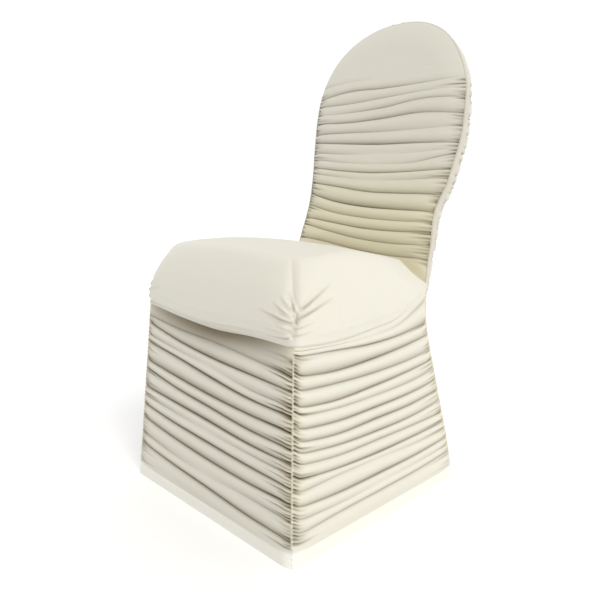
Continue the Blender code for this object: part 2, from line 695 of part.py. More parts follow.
def seat_rings():
    """Base rings, normals and moves of the seat panel, from its lower edge to its middle."""
    edge, edge_normals, swells, puckers, steeps = seat_edge()
    middle_y = SEAT_MIDDLE
    half = np.array([SEAT_FRONT[0], SEAT_HALF_DEPTH])
    target = along_ring(edge)[:-1]
    rings = [edge]
    for number, (inset, swell, square) in enumerate(SEAT_RINGS):
        flat = (edge[:, :2] - np.array([0.0, middle_y])) * (1 - inset / half)
        scaled = np.abs(flat) / half
        widest = scaled.max(axis=1)
        squarer = np.array([ease(y / REAR_HALF) for y in flat[:, 1]])
        power = (square * (1 + REAR_SQUARENESS * squarer))[:, None]
        rounded = (scaled ** power).sum(axis=1) ** (1 / power[:, 0])
        flat = flat * (widest / rounded)[:, None]
        part = min(inset / SEAT_ROUND, 1)
        rise = steeps * math.sqrt(1 - (1 - part) ** 2) + (1 - steeps) * part
        ring = np.zeros_like(edge)
        ring[:, :2] = flat + np.array([0.0, middle_y])
        ring += swells * swell
        tops = seat_top(ring[:, 0], ring[:, 1])
        ring[:, 2] = edge[:, 2] + (tops - edge[:, 2]) * rise
        spread = min((number + 1) / 3, 1.0)
        own = along_ring(ring)
        wanted = own[:-1] * (1 - spread) + target * spread
        closed = np.vstack([ring, ring[:1]])
        ring = np.array([np.interp(wanted, own, closed[:, k]) for k in range(3)]).T
        rings.append(ring)
    base = np.array(rings)
    normals = grid_normals(base, closed=True)
    for number, ring in enumerate(base[:4]):
        reach = np.linalg.norm(ring - edge, axis=1) / SEAT_EDGE_REACH
        near = np.minimum(reach, 1.0)[:, None]
        mixed = edge_normals * (1 - near) + normals[number] * near
        normals[number] = mixed / np.linalg.norm(mixed, axis=1, keepdims=True)
    weights = np.array([0.0, 0.7, 1.0, 1.0, 1.0, 0.7, 0.3, 0.0, 0.0])
    return base, normals, weights[:, None] * puckers[None, :]


def seat_solid(material):
    """The seat panel: rings closed by a point in the middle of each face."""
    base, normals, moves = seat_rings()
    middle = np.array([0.0, SEAT_MIDDLE, seat_top(0.0, SEAT_MIDDLE)])
    outer = base + normals * moves[:, :, None]
    edge = base[0]
    along = np.roll(edge, -1, axis=0) - np.roll(edge, 1, axis=0)
    side = np.cross(along, normals[0])
    side /= np.linalg.norm(side, axis=1, keepdims=True)
    inward = np.sum((base[2] - edge) * side, axis=1, keepdims=True)
    outer[0] += side * np.where(inward < 0, -1.0, 1.0) * SEAM_GAP / 2
    inner = outer - normals * CLOTH
    centre = np.array([0.0, DEPTH_CENTRE, 0.0])
    bm = bmesh.new()
    skins = []
    for skin in (outer - centre, inner - centre):
        skins.append([[bm.verts.new(point) for point in ring] for ring in skin])
    count = base.shape[1]
    for face, skin in enumerate(skins):
        tip = bm.verts.new(middle - centre - np.array([0.0, 0.0, CLOTH * face]))
        for lower, upper in zip(skin, skin[1:]):
            for k in range(count):
                bm.faces.new((lower[k - 1], lower[k], upper[k], upper[k - 1]))
        for k in range(count):
            bm.faces.new((skin[-1][k - 1], skin[-1][k], tip))
    for k in range(count):
        bm.faces.new((skins[0][0][k - 1], skins[0][0][k], skins[1][0][k], skins[1][0][k - 1]))
    return make_object("seat", bm, material)


def pocket_solid(name, side, end, material):
    """Doubled cloth inside a lower corner: a low upright wall round the foot, and its sole."""
    panels = {(-1, "front"): ("left", "front"), (1, "front"): ("front", "right"),
              (1, "rear"): ("right", "rear"), (-1, "rear"): ("rear", "left")}
    before, after = panels[(side, end)]
    path = [pocket_station(before, 1 - share, side, end) for share in POCKET_SHARES]
    path.append((corner(side, end, 0.0), corner_normal(side, end, 0.0)))
    path += [pocket_station(after, share, side, end) for share in reversed(POCKET_SHARES)]
    centre = np.array([0.0, DEPTH_CENTRE, 0.0])
    lean = corner(side, end, POCKET_HEIGHT) - corner(side, end, 0.0)
    wall = [place - out * (CLOTH + POCKET_CLEARANCE) - centre for place, out in path]
    skin = [place - path[k][1] * POCKET_SKIN for k, place in enumerate(wall)]
    sole = np.array([0.0, 0.0, POCKET_SKIN])
    bm = bmesh.new()
    wall_low = [bm.verts.new(place) for place in wall]
    wall_high = [bm.verts.new(place + lean) for place in wall]
    skin_low = [bm.verts.new(place + sole) for place in skin]
    skin_high = [bm.verts.new(place + lean) for place in skin]
    for k in range(len(wall) - 1):
        bm.faces.new((wall_low[k], wall_low[k + 1], wall_high[k + 1], wall_high[k]))
        bm.faces.new((skin_low[k], skin_high[k], skin_high[k + 1], skin_low[k + 1]))
        bm.faces.new((wall_high[k], wall_high[k + 1], skin_high[k + 1], skin_high[k]))
    for k in (0, -1):
        bm.faces.new((wall_low[k], wall_high[k], skin_high[k], skin_low[k]))
    bm.faces.new(wall_low)
    bm.faces.new(skin_low)
    bm.faces.new((wall_low[0], wall_low[-1], skin_low[-1], skin_low[0]))
    return make_object(name, bm, material)


def pocket_station(panel, share, side, end):
    """Point and outward direction of the cloth beside a lower corner."""
    if panel != "rear":
        return skirt_base(panel, share, 0.0, 0.4), level_normal(panel, share, 0.0)
    width = 2 * REAR_WIDTHS[0]
    reach = min(share, 1 - share) * width
    near = min(reach / RIM_WIDTH, 1.0)
    rise = math.sqrt(1 - (1 - near) ** 2)
    place = corner(side, end, 0.0) + np.array([-side * reach, rear_depth(0.0) * rise, 0.0])
    out = unit((1 - rise) * corner_normal(side, end, 0.0) + rise * np.array([0.0, 1.0, 0.0]))
    return place, out


def cloth_material(name, colour):
    """Matt stretch cloth with a slight sheen."""
    material = bpy.data.materials.new(name)
    material.use_nodes = True
    shader = material.node_tree.nodes["Principled BSDF"]
    shader.inputs["Base Color"].default_value = (*colour, 1.0)
    shader.inputs["Roughness"].default_value = 0.78
    shader.inputs["Metallic"].default_value = 0.0
    shader.inputs["Sheen Weight"].default_value = 0.25
    return material


def build():
    """Makes the ten pieces of the cover."""
    for item in list(bpy.data.objects):
        bpy.data.objects.remove(item, do_unlink=True)
    ivory = cloth_material("stretch_cloth", IVORY)
    pale = cloth_material("doubled_cloth", PALE_IVORY)
    cloth_sheet("back_front", *back_front_grid(), ("top", "bottom", "sides"), ivory)
    cloth_sheet("back_rear", *back_rear_grid(), ("top", "sides"), ivory)
    cloth_sheet("skirt_front", *skirt_grid("front", FRONT_FOLDS, FINE_ROWS), ("top", "sides"), ivory)
    cloth_sheet("skirt_right", *skirt_grid("right", RIGHT_FOLDS, FINE_ROWS), ("top", "sides"), ivory)
    cloth_sheet("skirt_left", *skirt_grid("left", LEFT_FOLDS, PLAIN_ROWS), ("top", "sides"), ivory)
    seat_solid(ivory)
    for side, word in ((-1, "left"), (1, "right")):
        for end in ("front", "rear"):
            pocket_solid(f"foot_pocket_{end}_{word}", side, end, pale)


build()
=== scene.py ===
"""Ruched stretch cover for a banquet chair: the cloth as it hangs over the padded seat and
the leaning backrest, with its folds, gathers, hem and foot pockets. Metres, +Z up."""
import math

import bmesh
import bpy
import numpy as np
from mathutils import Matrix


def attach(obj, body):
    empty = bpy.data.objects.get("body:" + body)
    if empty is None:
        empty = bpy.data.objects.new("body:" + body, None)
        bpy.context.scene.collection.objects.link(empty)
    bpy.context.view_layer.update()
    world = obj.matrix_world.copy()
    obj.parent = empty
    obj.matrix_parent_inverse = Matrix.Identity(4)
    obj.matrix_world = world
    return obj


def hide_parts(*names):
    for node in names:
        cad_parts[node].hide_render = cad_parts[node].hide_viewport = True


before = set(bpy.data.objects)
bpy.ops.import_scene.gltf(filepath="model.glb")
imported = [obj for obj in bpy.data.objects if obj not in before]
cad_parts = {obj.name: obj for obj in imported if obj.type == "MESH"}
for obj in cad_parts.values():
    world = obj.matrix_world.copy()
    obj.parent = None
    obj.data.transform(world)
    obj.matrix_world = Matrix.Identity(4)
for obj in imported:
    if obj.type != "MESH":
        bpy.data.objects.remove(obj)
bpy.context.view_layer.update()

# The view from the front right, a little above the seat, and the studio.
# A white backdrop that is dimmer behind the viewer, and a soft light from the upper right.
CAMERA_AT = (0.9214, -0.8981, 0.6111)
CAMERA_TURN = 0.8187
CAMERA_DOWN = 0.1862
FOCAL_PIXELS = 635.9
FRAME_PIXELS = 600
SENSOR_MM = 36.0
WHITE = (1.0, 1.0, 1.0, 1.0)
SUN_STRENGTH = 1.65
SUN_SPREAD = 0.55
SUN_COLOUR = (1.0, 0.985, 0.95)
SUN_HEIGHT = 0.66
SUN_SIDE = -0.22
SUN_AT = (2.0, 0.3, 1.6)
FLOOR_SIZE = 40.0
FLOOR_ROUGHNESS = 0.9
BACKDROP_SIDE = (-0.7, 0.7, 0.0)
BACKDROP_SPREAD = (-0.8, 0.1, 0.30, 1.02)

camera_data = bpy.data.cameras.new("camera")
camera_data.sensor_width = SENSOR_MM
camera_data.lens = FOCAL_PIXELS / FRAME_PIXELS * SENSOR_MM
camera = bpy.data.objects.new("camera", camera_data)
camera.location = CAMERA_AT
camera.rotation_euler = (math.pi / 2 - CAMERA_DOWN, 0.0, CAMERA_TURN)
bpy.context.collection.objects.link(camera)
bpy.context.scene.camera = camera
bpy.context.scene.view_settings.view_transform = "Standard"

sun = bpy.data.lights.new("soft_key", "SUN")
sun.energy = SUN_STRENGTH
sun.angle = SUN_SPREAD
sun.color = SUN_COLOUR
key = bpy.data.objects.new("soft_key", sun)
key.location = SUN_AT
key.rotation_euler = (0.0, math.pi / 2 - SUN_HEIGHT, SUN_SIDE)
bpy.context.collection.objects.link(key)

world = bpy.data.worlds.new("studio_white")
world.use_nodes = True
tree = world.node_tree
direction = tree.nodes.new("ShaderNodeTexCoord")
towards = tree.nodes.new("ShaderNodeVectorMath")
towards.operation = "DOT_PRODUCT"
towards.inputs[1].default_value = BACKDROP_SIDE
tree.links.new(direction.outputs["Generated"], towards.inputs[0])
spread = tree.nodes.new("ShaderNodeMapRange")
spread.interpolation_type = "SMOOTHSTEP"
for entry, value in zip(("From Min", "From Max", "To Min", "To Max"), BACKDROP_SPREAD):
    spread.inputs[entry].default_value = value
tree.links.new(towards.outputs["Value"], spread.inputs["Value"])
tree.nodes["Background"].inputs["Color"].default_value = WHITE
tree.links.new(spread.outputs["Result"], tree.nodes["Background"].inputs["Strength"])
bpy.context.scene.world = world

bpy.ops.object.select_all(action="DESELECT")
bpy.ops.mesh.primitive_plane_add(size=FLOOR_SIZE, location=(0.0, 0.0, 0.0))
floor = bpy.context.object
floor.name = "studio_floor"
floor_paint = bpy.data.materials.new("floor_paint")
floor_paint.use_nodes = True
floor_paint.node_tree.nodes["Principled BSDF"].inputs["Base Color"].default_value = WHITE
floor_paint.node_tree.nodes["Principled BSDF"].inputs["Roughness"].default_value = FLOOR_ROUGHNESS
floor.data.materials.append(floor_paint)

# Front panel of the skirt, between the two front corner seams.
# Thin ivory stretch knit, cut longer than it hangs and gathered up on both seams, so
# that it falls in slanting folds. Its top is sewn under the cushion's lip, its hem turned up.
DEPTH_CENTRE = 0.0522
CLOTH = 0.0012
MERGE_REACH = 0.000001
FLOOR_FRONT = (0.2400, -0.2280)
SEAT_FRONT = (0.2130, -0.1970)
FRONT_SEAM_TOP = 0.403
REAR_SEAM_TOP = 0.412
REAR_HEIGHTS = (0.0, 0.042, 0.102, 0.162, 0.222, 0.282, 0.342, 0.377, 0.412)
REAR_WIDTHS = (0.2235, 0.2245, 0.2190, 0.2105, 0.2025, 0.1940, 0.1885, 0.1890, 0.1960)
REAR_DEPTHS = (0.2430, 0.2345, 0.2240, 0.2135, 0.2030, 0.1925, 0.1820, 0.1760, 0.1700)
REAR_TURNS = (1.0, 0.85, 0.65, 0.45, 0.30, 0.10, -0.15, -0.35, -0.60)
CORNER_BULGE = 0.0055
CORNER_SHARE = 0.034
LIP_RECESS = 0.015
LIP_FADE = 0.040
HEIGHT_AT = (0.0, 0.25, 0.5, 0.75, 1.0)
DEPTH_AT = (0.0, 0.5, 1.0)
LIP_FULLNESS = 0.6
ROW_CROWDING = 0.45
CREST_LEAN = 0.62
SKIRT_NARROWNESS = 0.62
FOLD_LENGTH = 0.026
GATHER_WIDTH = 0.0016
GATHER_LENGTHS = (0.55, 0.8, 1.0, 1.9)
GATHER_ODDS = (0.3, 0.3, 0.25, 0.15)
GATHERS_END = 0.030
BEAD_RISE = 0.0002
BEAD_DEPTH = 0.0016
BEAD_SPACING = 0.0085
SEAM_FLAT = 0.0025
KINK_REACH = 0.013
# Fold depth at which the painted valley shade is full.
SHADED_DEPTH = 0.0058
STITCH_HEIGHT = 0.022
STITCH_WIDTH = 0.0016
STITCH_DEPTH = 0.0007
HEM_TOP = 0.023
HEM_EDGE = 0.002
HEM_PALENESS = 0.75
PALE_REACH = 0.026
PALE_TOP = 0.028
PALE_EDGE = 0.006

# Valleys of the folds in millimetres: heights across the panel, then depths
FRONT_FOLDS = (
    # left quarter middle three_quarter right | deep_left deep_middle deep_right
    (367, 353, 347, 353, 356, 0.0, 0.0, 0.0),
    (342, 330, 325, 318, 308, 2.5, 2.0, 2.5),
    (327, 307, 295, 290, 286, 4.0, 5.0, 4.0),
    (303, 290, 280, 266, 262, 2.5, 0.5, 3.0),
    (288, 275, 260, 249, 246, 4.5, 6.0, 4.5),
    (249, 237, 227, 222, 221, 4.0, 5.0, 4.0),
    (232, 215, 205, 196, 194, 4.0, 5.0, 4.0),
    (192, 185, 178, 171, 170, 4.0, 5.5, 4.0),
    (174, 167, 160, 156, 153, 3.0, 0.5, 3.0),
    (155, 144, 138, 133, 131, 4.0, 5.5, 4.0),
    (126, 114, 106, 103, 105, 4.0, 4.5, 4.0),
    (94, 82, 78, 80, 78, 3.0, 0.5, 3.0),
    (70, 60, 53, 46, 45, 3.5, 5.0, 3.5),
    (24, 23, 20, 17, 12, 0.0, 0.6, 0.0),
    (0, 0, 0, 0, 0, 0.0, 0.0, 0.0),
)


def smooth_table(value, places, heights):
    """Curve through a short table, with an even slope at each entry."""
    places = np.asarray(places, dtype=float)
    heights = np.asarray(heights, dtype=float)
    slopes = np.gradient(heights, places)
    value = np.clip(np.asarray(value, dtype=float), places[0], places[-1])
    index = np.clip(np.searchsorted(places, value, side="right") - 1, 0, len(places) - 2)
    step = places[index + 1] - places[index]
    part = (value - places[index]) / step
    first = (2 * part ** 3 - 3 * part ** 2 + 1) * heights[index]
    first_slope = (part ** 3 - 2 * part ** 2 + part) * step * slopes[index]
    second = (3 * part ** 2 - 2 * part ** 3) * heights[index + 1]
    second_slope = (part ** 3 - part ** 2) * step * slopes[index + 1]
    return first + first_slope + second + second_slope


def ease(value):
    """Soft step from 0 to 1."""
    value = np.clip(value, 0.0, 1.0)
    return value * value * (3 - 2 * value)


def unit(vectors):
    length = np.linalg.norm(vectors, axis=-1, keepdims=True)
    return vectors / np.maximum(length, 1e-12)


def point(x, y, z):
    return np.stack(np.broadcast_arrays(x, y, z), axis=-1).astype(float)


def corner(side, end, height):
    """Points on a corner seam. side is -1 left or 1 right, end is front or rear."""
    if end == "front":
        share = height / FRONT_SEAM_TOP
        half = FLOOR_FRONT[0] + (SEAT_FRONT[0] - FLOOR_FRONT[0]) * share
        depth = FLOOR_FRONT[1] + (SEAT_FRONT[1] - FLOOR_FRONT[1]) * share
    else:
        half = smooth_table(height, REAR_HEIGHTS, REAR_WIDTHS)
        depth = smooth_table(height, REAR_HEIGHTS, REAR_DEPTHS)
    return point(side * half, depth, height)


def corner_out(side, end, height):
    """Direction that both pieces share at a corner seam, pointing out."""
    if end == "front":
        return unit(point(side, -1.0, 0.0 * height))
    return unit(point(side, smooth_table(height, REAR_HEIGHTS, REAR_TURNS), 0.0 * height))


SKIRT_CORNERS = {
    "front": ((-1, "front"), (1, "front")),
    "right": ((1, "front"), (1, "rear")),
    "left": ((-1, "rear"), (-1, "front")),
}


def skirt_base(panel, share, height, lip_height):
    """Points of the unfolded skirt and its level direction out."""
    first, last = SKIRT_CORNERS[panel]
    start = corner(*first, height)
    end = corner(*last, height)
    along = unit((end - start) * np.array([1.0, 1.0, 0.0]))
    out = point(along[..., 1], -along[..., 0], 0.0)
    near = np.minimum(np.minimum(share, 1 - share) / CORNER_SHARE, 1.0)
    reach = CORNER_BULGE * (1 - (1 - near) ** 2)
    if panel == "front":
        middle = np.sin(math.pi * np.clip(share, 0, 1)) ** LIP_FULLNESS
        reach = reach - LIP_RECESS * middle * np.exp(-(lip_height - height) / LIP_FADE)
    return start + (end - start) * np.asarray(share)[..., None] + out * reach[..., None], out


def seam_crowded(count, crowding):
    """Column shares from seam to seam, closer together near both seams."""
    even = np.linspace(0.0, 1.0, count)
    return even - crowding * np.sin(2 * math.pi * even) / (2 * math.pi)


def fold_rows(folds, shares, rows_in_fold, narrowness):
    """Height, depth and phase of fine rows that follow the folds, top to bottom."""
    even = np.linspace(0.0, 1.0, rows_in_fold, endpoint=False)
    phases = even - ROW_CROWDING * np.sin(2 * math.pi * even) / (2 * math.pi)
    valleys = np.array([smooth_table(shares, HEIGHT_AT, fold[:5]) for fold in folds]) / 1000
    depths = np.array([np.interp(shares, DEPTH_AT, fold[5:]) for fold in folds]) / 1000
    heights = []
    moves = []
    places = []
    for index in range(len(folds) - 1):
        for phase in phases:
            heights.append(valleys[index] * (1 - phase) + valleys[index + 1] * phase)
            depth = depths[index] * (1 - phase) + depths[index + 1] * phase
            swell = math.sin(math.pi * phase ** CREST_LEAN) ** narrowness if phase else 0.0
            moves.append(-depth * (1 - swell))
            places.append(index + phase)
    heights.append(valleys[-1])
    moves.append(-depths[-1])
    places.append(len(folds) - 1.0)
    return np.array(heights), np.array(moves), np.array(places)


def gathers(heights, places, distance, spacing, deep, reach, seed, top, bottom):
    """Short creases that run out from a seam and fade, along the folds' own direction."""
    rng = np.random.default_rng(seed)
    at_seam = heights[:, int(np.argmin(distance))]
    moves = np.zeros_like(heights)
    height = top
    while height > bottom:
        place = np.interp(-height, -at_seam, places)
        pitch = np.interp(-height + 0.001, -at_seam, places) - place
        width = GATHER_WIDTH * rng.uniform(0.8, 1.25) * pitch / 0.001
        row = np.exp(-((places - place) / max(width, 1e-4)) ** 2)
        length = reach * rng.choice(GATHER_LENGTHS, p=GATHER_ODDS)
        column = np.exp(-(distance / length) ** 2)
        moves -= deep * rng.uniform(0.6, 1.2) * row[:, None] * column[None, :]
        height -= spacing * rng.uniform(0.75, 1.3)
    return moves


def seam_beads(heights):
    """Small even puckers along a gathered seam, the same for both of its pieces."""
    wave = 0.5 - 0.5 * np.cos(2 * math.pi * heights / BEAD_SPACING)
    return BEAD_RISE - BEAD_DEPTH * wave


def grid_normals(points):
    """Unit directions square to a grid of points."""
    down = np.gradient(points, axis=0)
    across = np.gradient(points, axis=1)
    return unit(np.cross(down, across))


def sheet_mesh(name, outer, normals, uv, marks, closed=False):
    """A thin closed sheet: the seen skin, a second skin inside and a rim."""
    rows, columns = outer.shape[:2]
    inner = outer - normals * CLOTH
    centre = np.array([0.0, DEPTH_CENTRE, 0.0])
    points = np.concatenate([(outer - centre).reshape(-1, 3), (inner - centre).reshape(-1, 3)])
    index = np.arange(rows * columns).reshape(rows, columns)
    if closed:
        index = np.concatenate([index, index[:, :1]], axis=1)
    seen = np.stack([index[:-1, :-1], index[1:, :-1], index[1:, 1:], index[:-1, 1:]], axis=-1)
    seen = seen.reshape(-1, 4)
    shift = rows * columns
    faces = [seen, seen[:, ::-1] + shift]
    edges = [index[0, ::-1], index[-1, :]]
    if not closed:
        edges += [index[:, 0], index[::-1, -1]]
    for edge in edges:
        faces.append(np.stack([edge[1:], edge[:-1], edge[:-1] + shift, edge[1:] + shift], axis=-1))
    faces = np.concatenate(faces)
    mesh = bpy.data.meshes.new(name)
    mesh.vertices.add(len(points))
    mesh.vertices.foreach_set("co", points.astype(np.float32).ravel())
    mesh.loops.add(faces.size)
    mesh.loops.foreach_set("vertex_index", faces.astype(np.int32).ravel())
    mesh.polygons.add(len(faces))
    mesh.polygons.foreach_set("loop_start", np.arange(0, faces.size, 4, dtype=np.int32))
    mesh.update(calc_edges=True)
    layer = mesh.uv_layers.new(name="cloth")
    both = np.concatenate([uv.reshape(-1, 2)] * 2)
    layer.data.foreach_set("uv", both[faces.ravel()].astype(np.float32).ravel())
    for mark, values in marks.items():
        attribute = mesh.attributes.new(mark, "FLOAT", "POINT")
        twice = np.concatenate([values.ravel()] * 2).astype(np.float32)
        attribute.data.foreach_set("value", twice)
    if closed:
        merged = bmesh.new()
        merged.from_mesh(mesh)
        bmesh.ops.remove_doubles(merged, verts=merged.verts, dist=MERGE_REACH)
        merged.to_mesh(mesh)
        merged.free()
    mesh.validate()
    mesh.shade_smooth()
    item = bpy.data.objects.new(name, mesh)
    bpy.context.collection.objects.link(item)
    return item


class Field:
    """A value that varies over the cloth, as a socket. Sums and products add Math nodes."""

    def __init__(self, finish, socket):
        self.finish = finish
        self.socket = socket

    def _join(self, operation, first, second):
        return self.finish.node("ShaderNodeMath", {"operation": operation}, {0: first, 1: second})

    def __add__(self, other):
        return self._join("ADD", self, other)

    def __sub__(self, other):
        return self._join("SUBTRACT", self, other)

    def __rsub__(self, other):
        return self._join("SUBTRACT", other, self)

    def __mul__(self, other):
        return self._join("MULTIPLY", self, other)

    __radd__ = __add__
    __rmul__ = __mul__


class Finish:
    """The node tree of one finish."""

    def __init__(self, name):
        self.material = bpy.data.materials.new(name)
        self.material.use_nodes = True
        self.tree = self.material.node_tree
        self.shader = self.tree.nodes["Principled BSDF"]

    def put(self, socket, value):
        if isinstance(value, Field):
            self.tree.links.new(value.socket, socket)
        else:
            socket.default_value = value

    def node(self, kind, settings, inputs, output=0):
        made = self.tree.nodes.new(kind)
        for key, value in settings.items():
            setattr(made, key, value)
        for key, value in inputs.items():
            self.put(made.inputs[key], value)
        return Field(self, made.outputs[output])

    def mark(self, name):
        """A value stored on the cloth's own points."""
        return self.node("ShaderNodeAttribute", {"attribute_name": name}, {}, "Fac")

    def blend(self, share, first, second):
        return self.node("ShaderNodeMix", {"data_type": "RGBA"}, {0: share, 6: first, 7: second}, 2)


# The colour of the painted warm light; the grey is the cloth's uneven tone.
PAINTED_WARM_IVORY = (0.80, 0.735, 0.50, 1.0)
GREY_IVORY = (0.66, 0.645, 0.59, 1.0)
PULLS_SCALE = (7.0, 130.0, 1.0)
RIB_SCALE = 210.0
STITCH_SCALE = 260.0


def stretch_knit(name, ivory, shade, doubled_ivory):
    """Matt stretch knit with painted shade in the folds' valleys and painted warm light where marked,
    paler where it lies double, with a fine weave.
    """
    finish = Finish(name)
    crest = finish.mark("crest")
    doubled = finish.mark("doubled")
    cloth_at = finish.node("ShaderNodeUVMap", {"uv_map": "cloth"}, {})
    place = finish.node("ShaderNodeTexCoord", {}, {}, "Object")
    cloud = finish.node("ShaderNodeTexNoise", {}, {"Vector": place, "Scale": 7.0, "Detail": 2.0})
    # Painted warm light: a yellower ivory along the skirt seams and on the lower backrest.
    tint = finish.blend(finish.mark("warm_painted_light"), ivory, PAINTED_WARM_IVORY)
    # Painted shade: the shade colour fills the folds' valleys, the shadow under the lip and the shade
    # under the cushion's roll.
    tint = finish.blend(crest, shade, tint)
    tint = finish.blend(doubled * 0.8, tint, doubled_ivory)
    tint = finish.blend((cloud - 0.35) * 0.16, tint, GREY_IVORY)
    finish.put(finish.shader.inputs["Base Color"], tint)
    pulled = finish.node("ShaderNodeMapping", {}, {"Vector": cloth_at, "Scale": PULLS_SCALE})
    pulls = finish.node("ShaderNodeTexNoise", {}, {"Vector": pulled, "Scale": 1.0, "Detail": 3.0})
    ribs = finish.node("ShaderNodeTexWave", {"bands_direction": "X"},
                       {"Vector": cloth_at, "Scale": RIB_SCALE, "Distortion": 0.4})
    stitches = finish.node("ShaderNodeTexWave", {"bands_direction": "Y"},
                           {"Vector": cloth_at, "Scale": STITCH_SCALE, "Distortion": 0.3})
    relief = pulls * 0.9 + ribs * 0.05 + stitches * 0.05
    bump = finish.node("ShaderNodeBump", {}, {"Strength": 0.35, "Distance": 0.0016, "Height": relief})
    finish.put(finish.shader.inputs["Normal"], bump)
    finish.put(finish.shader.inputs["Roughness"], 0.66 + (cloud - 0.5) * 0.10)
    finish.shader.inputs["Sheen Weight"].default_value = 0.30
    finish.shader.inputs["Sheen Roughness"].default_value = 0.45
    finish.shader.inputs["Specular IOR Level"].default_value = 0.32
    return finish.material


# The knit's second colour is the painted shade that fills the folds' valleys.
knit = stretch_knit("stretch_knit", (0.73, 0.705, 0.615, 1.0), (0.17, 0.125, 0.06, 1.0),
                    (0.93, 0.915, 0.85, 1.0))


def cloth_marks(moves, doubled):
    """Painted shade in the folds' valleys, fading out where the cloth stands proud, and where it lies
    double.
    """
    crest = np.clip(1 + moves / SHADED_DEPTH, 0.0, 1.0)
    return {"crest": crest, "doubled": doubled, "warm_painted_light": np.zeros_like(crest)}


def skirt_panel(panel, folds, columns, rows_in_fold, crowding, deeper, gather_rows, kinks, seed):
    """One gathered skirt panel on its base form."""
    shares = seam_crowded(columns, crowding)
    heights, moves, places = fold_rows(folds, shares, rows_in_fold, SKIRT_NARROWNESS)
    moves = moves * deeper
    width = np.linalg.norm(corner(*SKIRT_CORNERS[panel][1], np.array(0.2))
                           - corner(*SKIRT_CORNERS[panel][0], np.array(0.2)))
    from_first = shares * width
    from_last = (1 - shares) * width
    for row, distance in zip(gather_rows, (from_first, from_last)):
        moves = moves + gathers(heights, places, distance, *row, seed,
                                heights[0].min() - 0.008, GATHERS_END)
        seed += 1
    fade = ease((heights[0] - heights) / 0.030) * ease((heights - 0.020) / 0.030)
    for kink, distance in zip(kinks, (from_first, from_last)):
        heights = heights + kink * fade * np.exp(-(distance / KINK_REACH) ** 1.5)
    base, out = skirt_base(panel, shares, heights, heights[0])
    normals = grid_normals(base)
    near = np.minimum(np.minimum(shares, 1 - shares) / CORNER_SHARE, 1.0)
    for column, share in enumerate(shares):
        if near[column] < 1:
            seam = corner_out(*SKIRT_CORNERS[panel][0 if share < 0.5 else 1], heights[:, column])
            weight = (1 - near[column]) ** 2
            normals[:, column] = unit(seam * weight + normals[:, column] * (1 - weight))
    seam_near = np.minimum(from_first, from_last)
    to_seam = ease(seam_near / SEAM_FLAT)
    moves = moves * to_seam + seam_beads(heights) * (1 - to_seam)
    moves[0] = 0.0
    outer = base + normals * moves[..., None]
    stitch = STITCH_DEPTH * np.exp(-((heights - STITCH_HEIGHT) / STITCH_WIDTH) ** 2)
    outer = outer - normals * stitch[..., None]
    pocket = np.exp(-(seam_near / PALE_REACH) ** 4)[None, :] * ease((PALE_TOP - heights) / PALE_EDGE)
    doubled = np.maximum(HEM_PALENESS * ease((HEM_TOP - heights) / HEM_EDGE), pocket)
    u = np.broadcast_to(from_first, heights.shape)
    v = np.broadcast_to((places * FOLD_LENGTH)[:, None], heights.shape)
    marks = cloth_marks(moves, doubled)
    # Painted warm highlight along the seams, fading out towards the hem.
    marks["warm_painted_light"] = 0.40 * np.exp(-(seam_near / 0.022) ** 2) * ease((heights - 0.04) / 0.05)
    if panel == "front":
        # Painted shadow under the cushion's lip: the top of the front panel is darkened, most in the
        # middle.
        shaded = np.exp(-((heights[0] - heights) / 0.026) ** 2) * np.sin(math.pi * shares) ** 0.4
        marks["crest"] = marks["crest"] * (1 - 0.95 * shaded)
    item = sheet_mesh("cloth_skirt_" + panel, outer, normals, np.stack([u, v], -1), marks)
    item.data.materials.append(knit)
    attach(item, "root")
    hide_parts("skirt_" + panel)
    return item


skirt_front = skirt_panel(
    "front", FRONT_FOLDS, 190, 17, 0.62, 1.30,
    ((0.0058, 0.0046, 0.024), (0.0062, 0.0054, 0.027)), (0.003, -0.003), 11)

# Right panel of the skirt, from the near corner seam to the rear one.
# The same knit, smooth at the top where it runs on from the seat. Below, its folds fan out
# from the near corner and climb to the rear seam, with short gathers at both seams.
RIGHT_FOLDS = (
    # front quarter middle three_quarter rear | deep_front deep_middle deep_rear
    (356, 348, 351, 362, 412, 0.0, 0.0, 0.0),
    (349, 342, 340, 347, 380, 2.0, 0.5, 3.0),
    (341, 333, 325, 325, 334, 3.0, 5.0, 3.5),
    (309, 298, 297, 301, 309, 4.0, 5.5, 3.5),
    (285, 277, 272, 272, 278, 4.0, 4.0, 3.0),
    (259, 248, 248, 251, 257, 4.0, 5.0, 3.5),
    (246, 235, 231, 231, 238, 3.0, 2.5, 3.0),
    (224, 212, 209, 209, 215, 4.0, 5.0, 3.5),
    (204, 190, 188, 187, 194, 3.5, 5.0, 3.5),
    (185, 171, 165, 164, 171, 3.5, 4.5, 3.0),
    (167, 153, 149, 146, 145, 3.0, 3.5, 3.0),
    (143, 131, 125, 124, 125, 3.5, 5.0, 3.5),
    (120, 120, 116, 110, 109, 3.0, 1.0, 2.5),
    (97, 88, 86, 86, 91, 3.5, 5.0, 3.5),
    (75, 70, 70, 71, 75, 3.0, 0.5, 2.0),
    (51, 54, 54, 55, 61, 2.5, 3.5, 3.0),
    (20, 23, 24, 21, 17, 0.0, 0.6, 0.0),
    (0, 0, 0, 0, 0, 0.0, 0.0, 0.0),
)
skirt_right = skirt_panel(
    "right", RIGHT_FOLDS, 180, 14, 0.62, 1.05,
    ((0.0064, 0.0056, 0.018), (0.0075, 0.0042, 0.028)), (0.007, 0.003), 21)

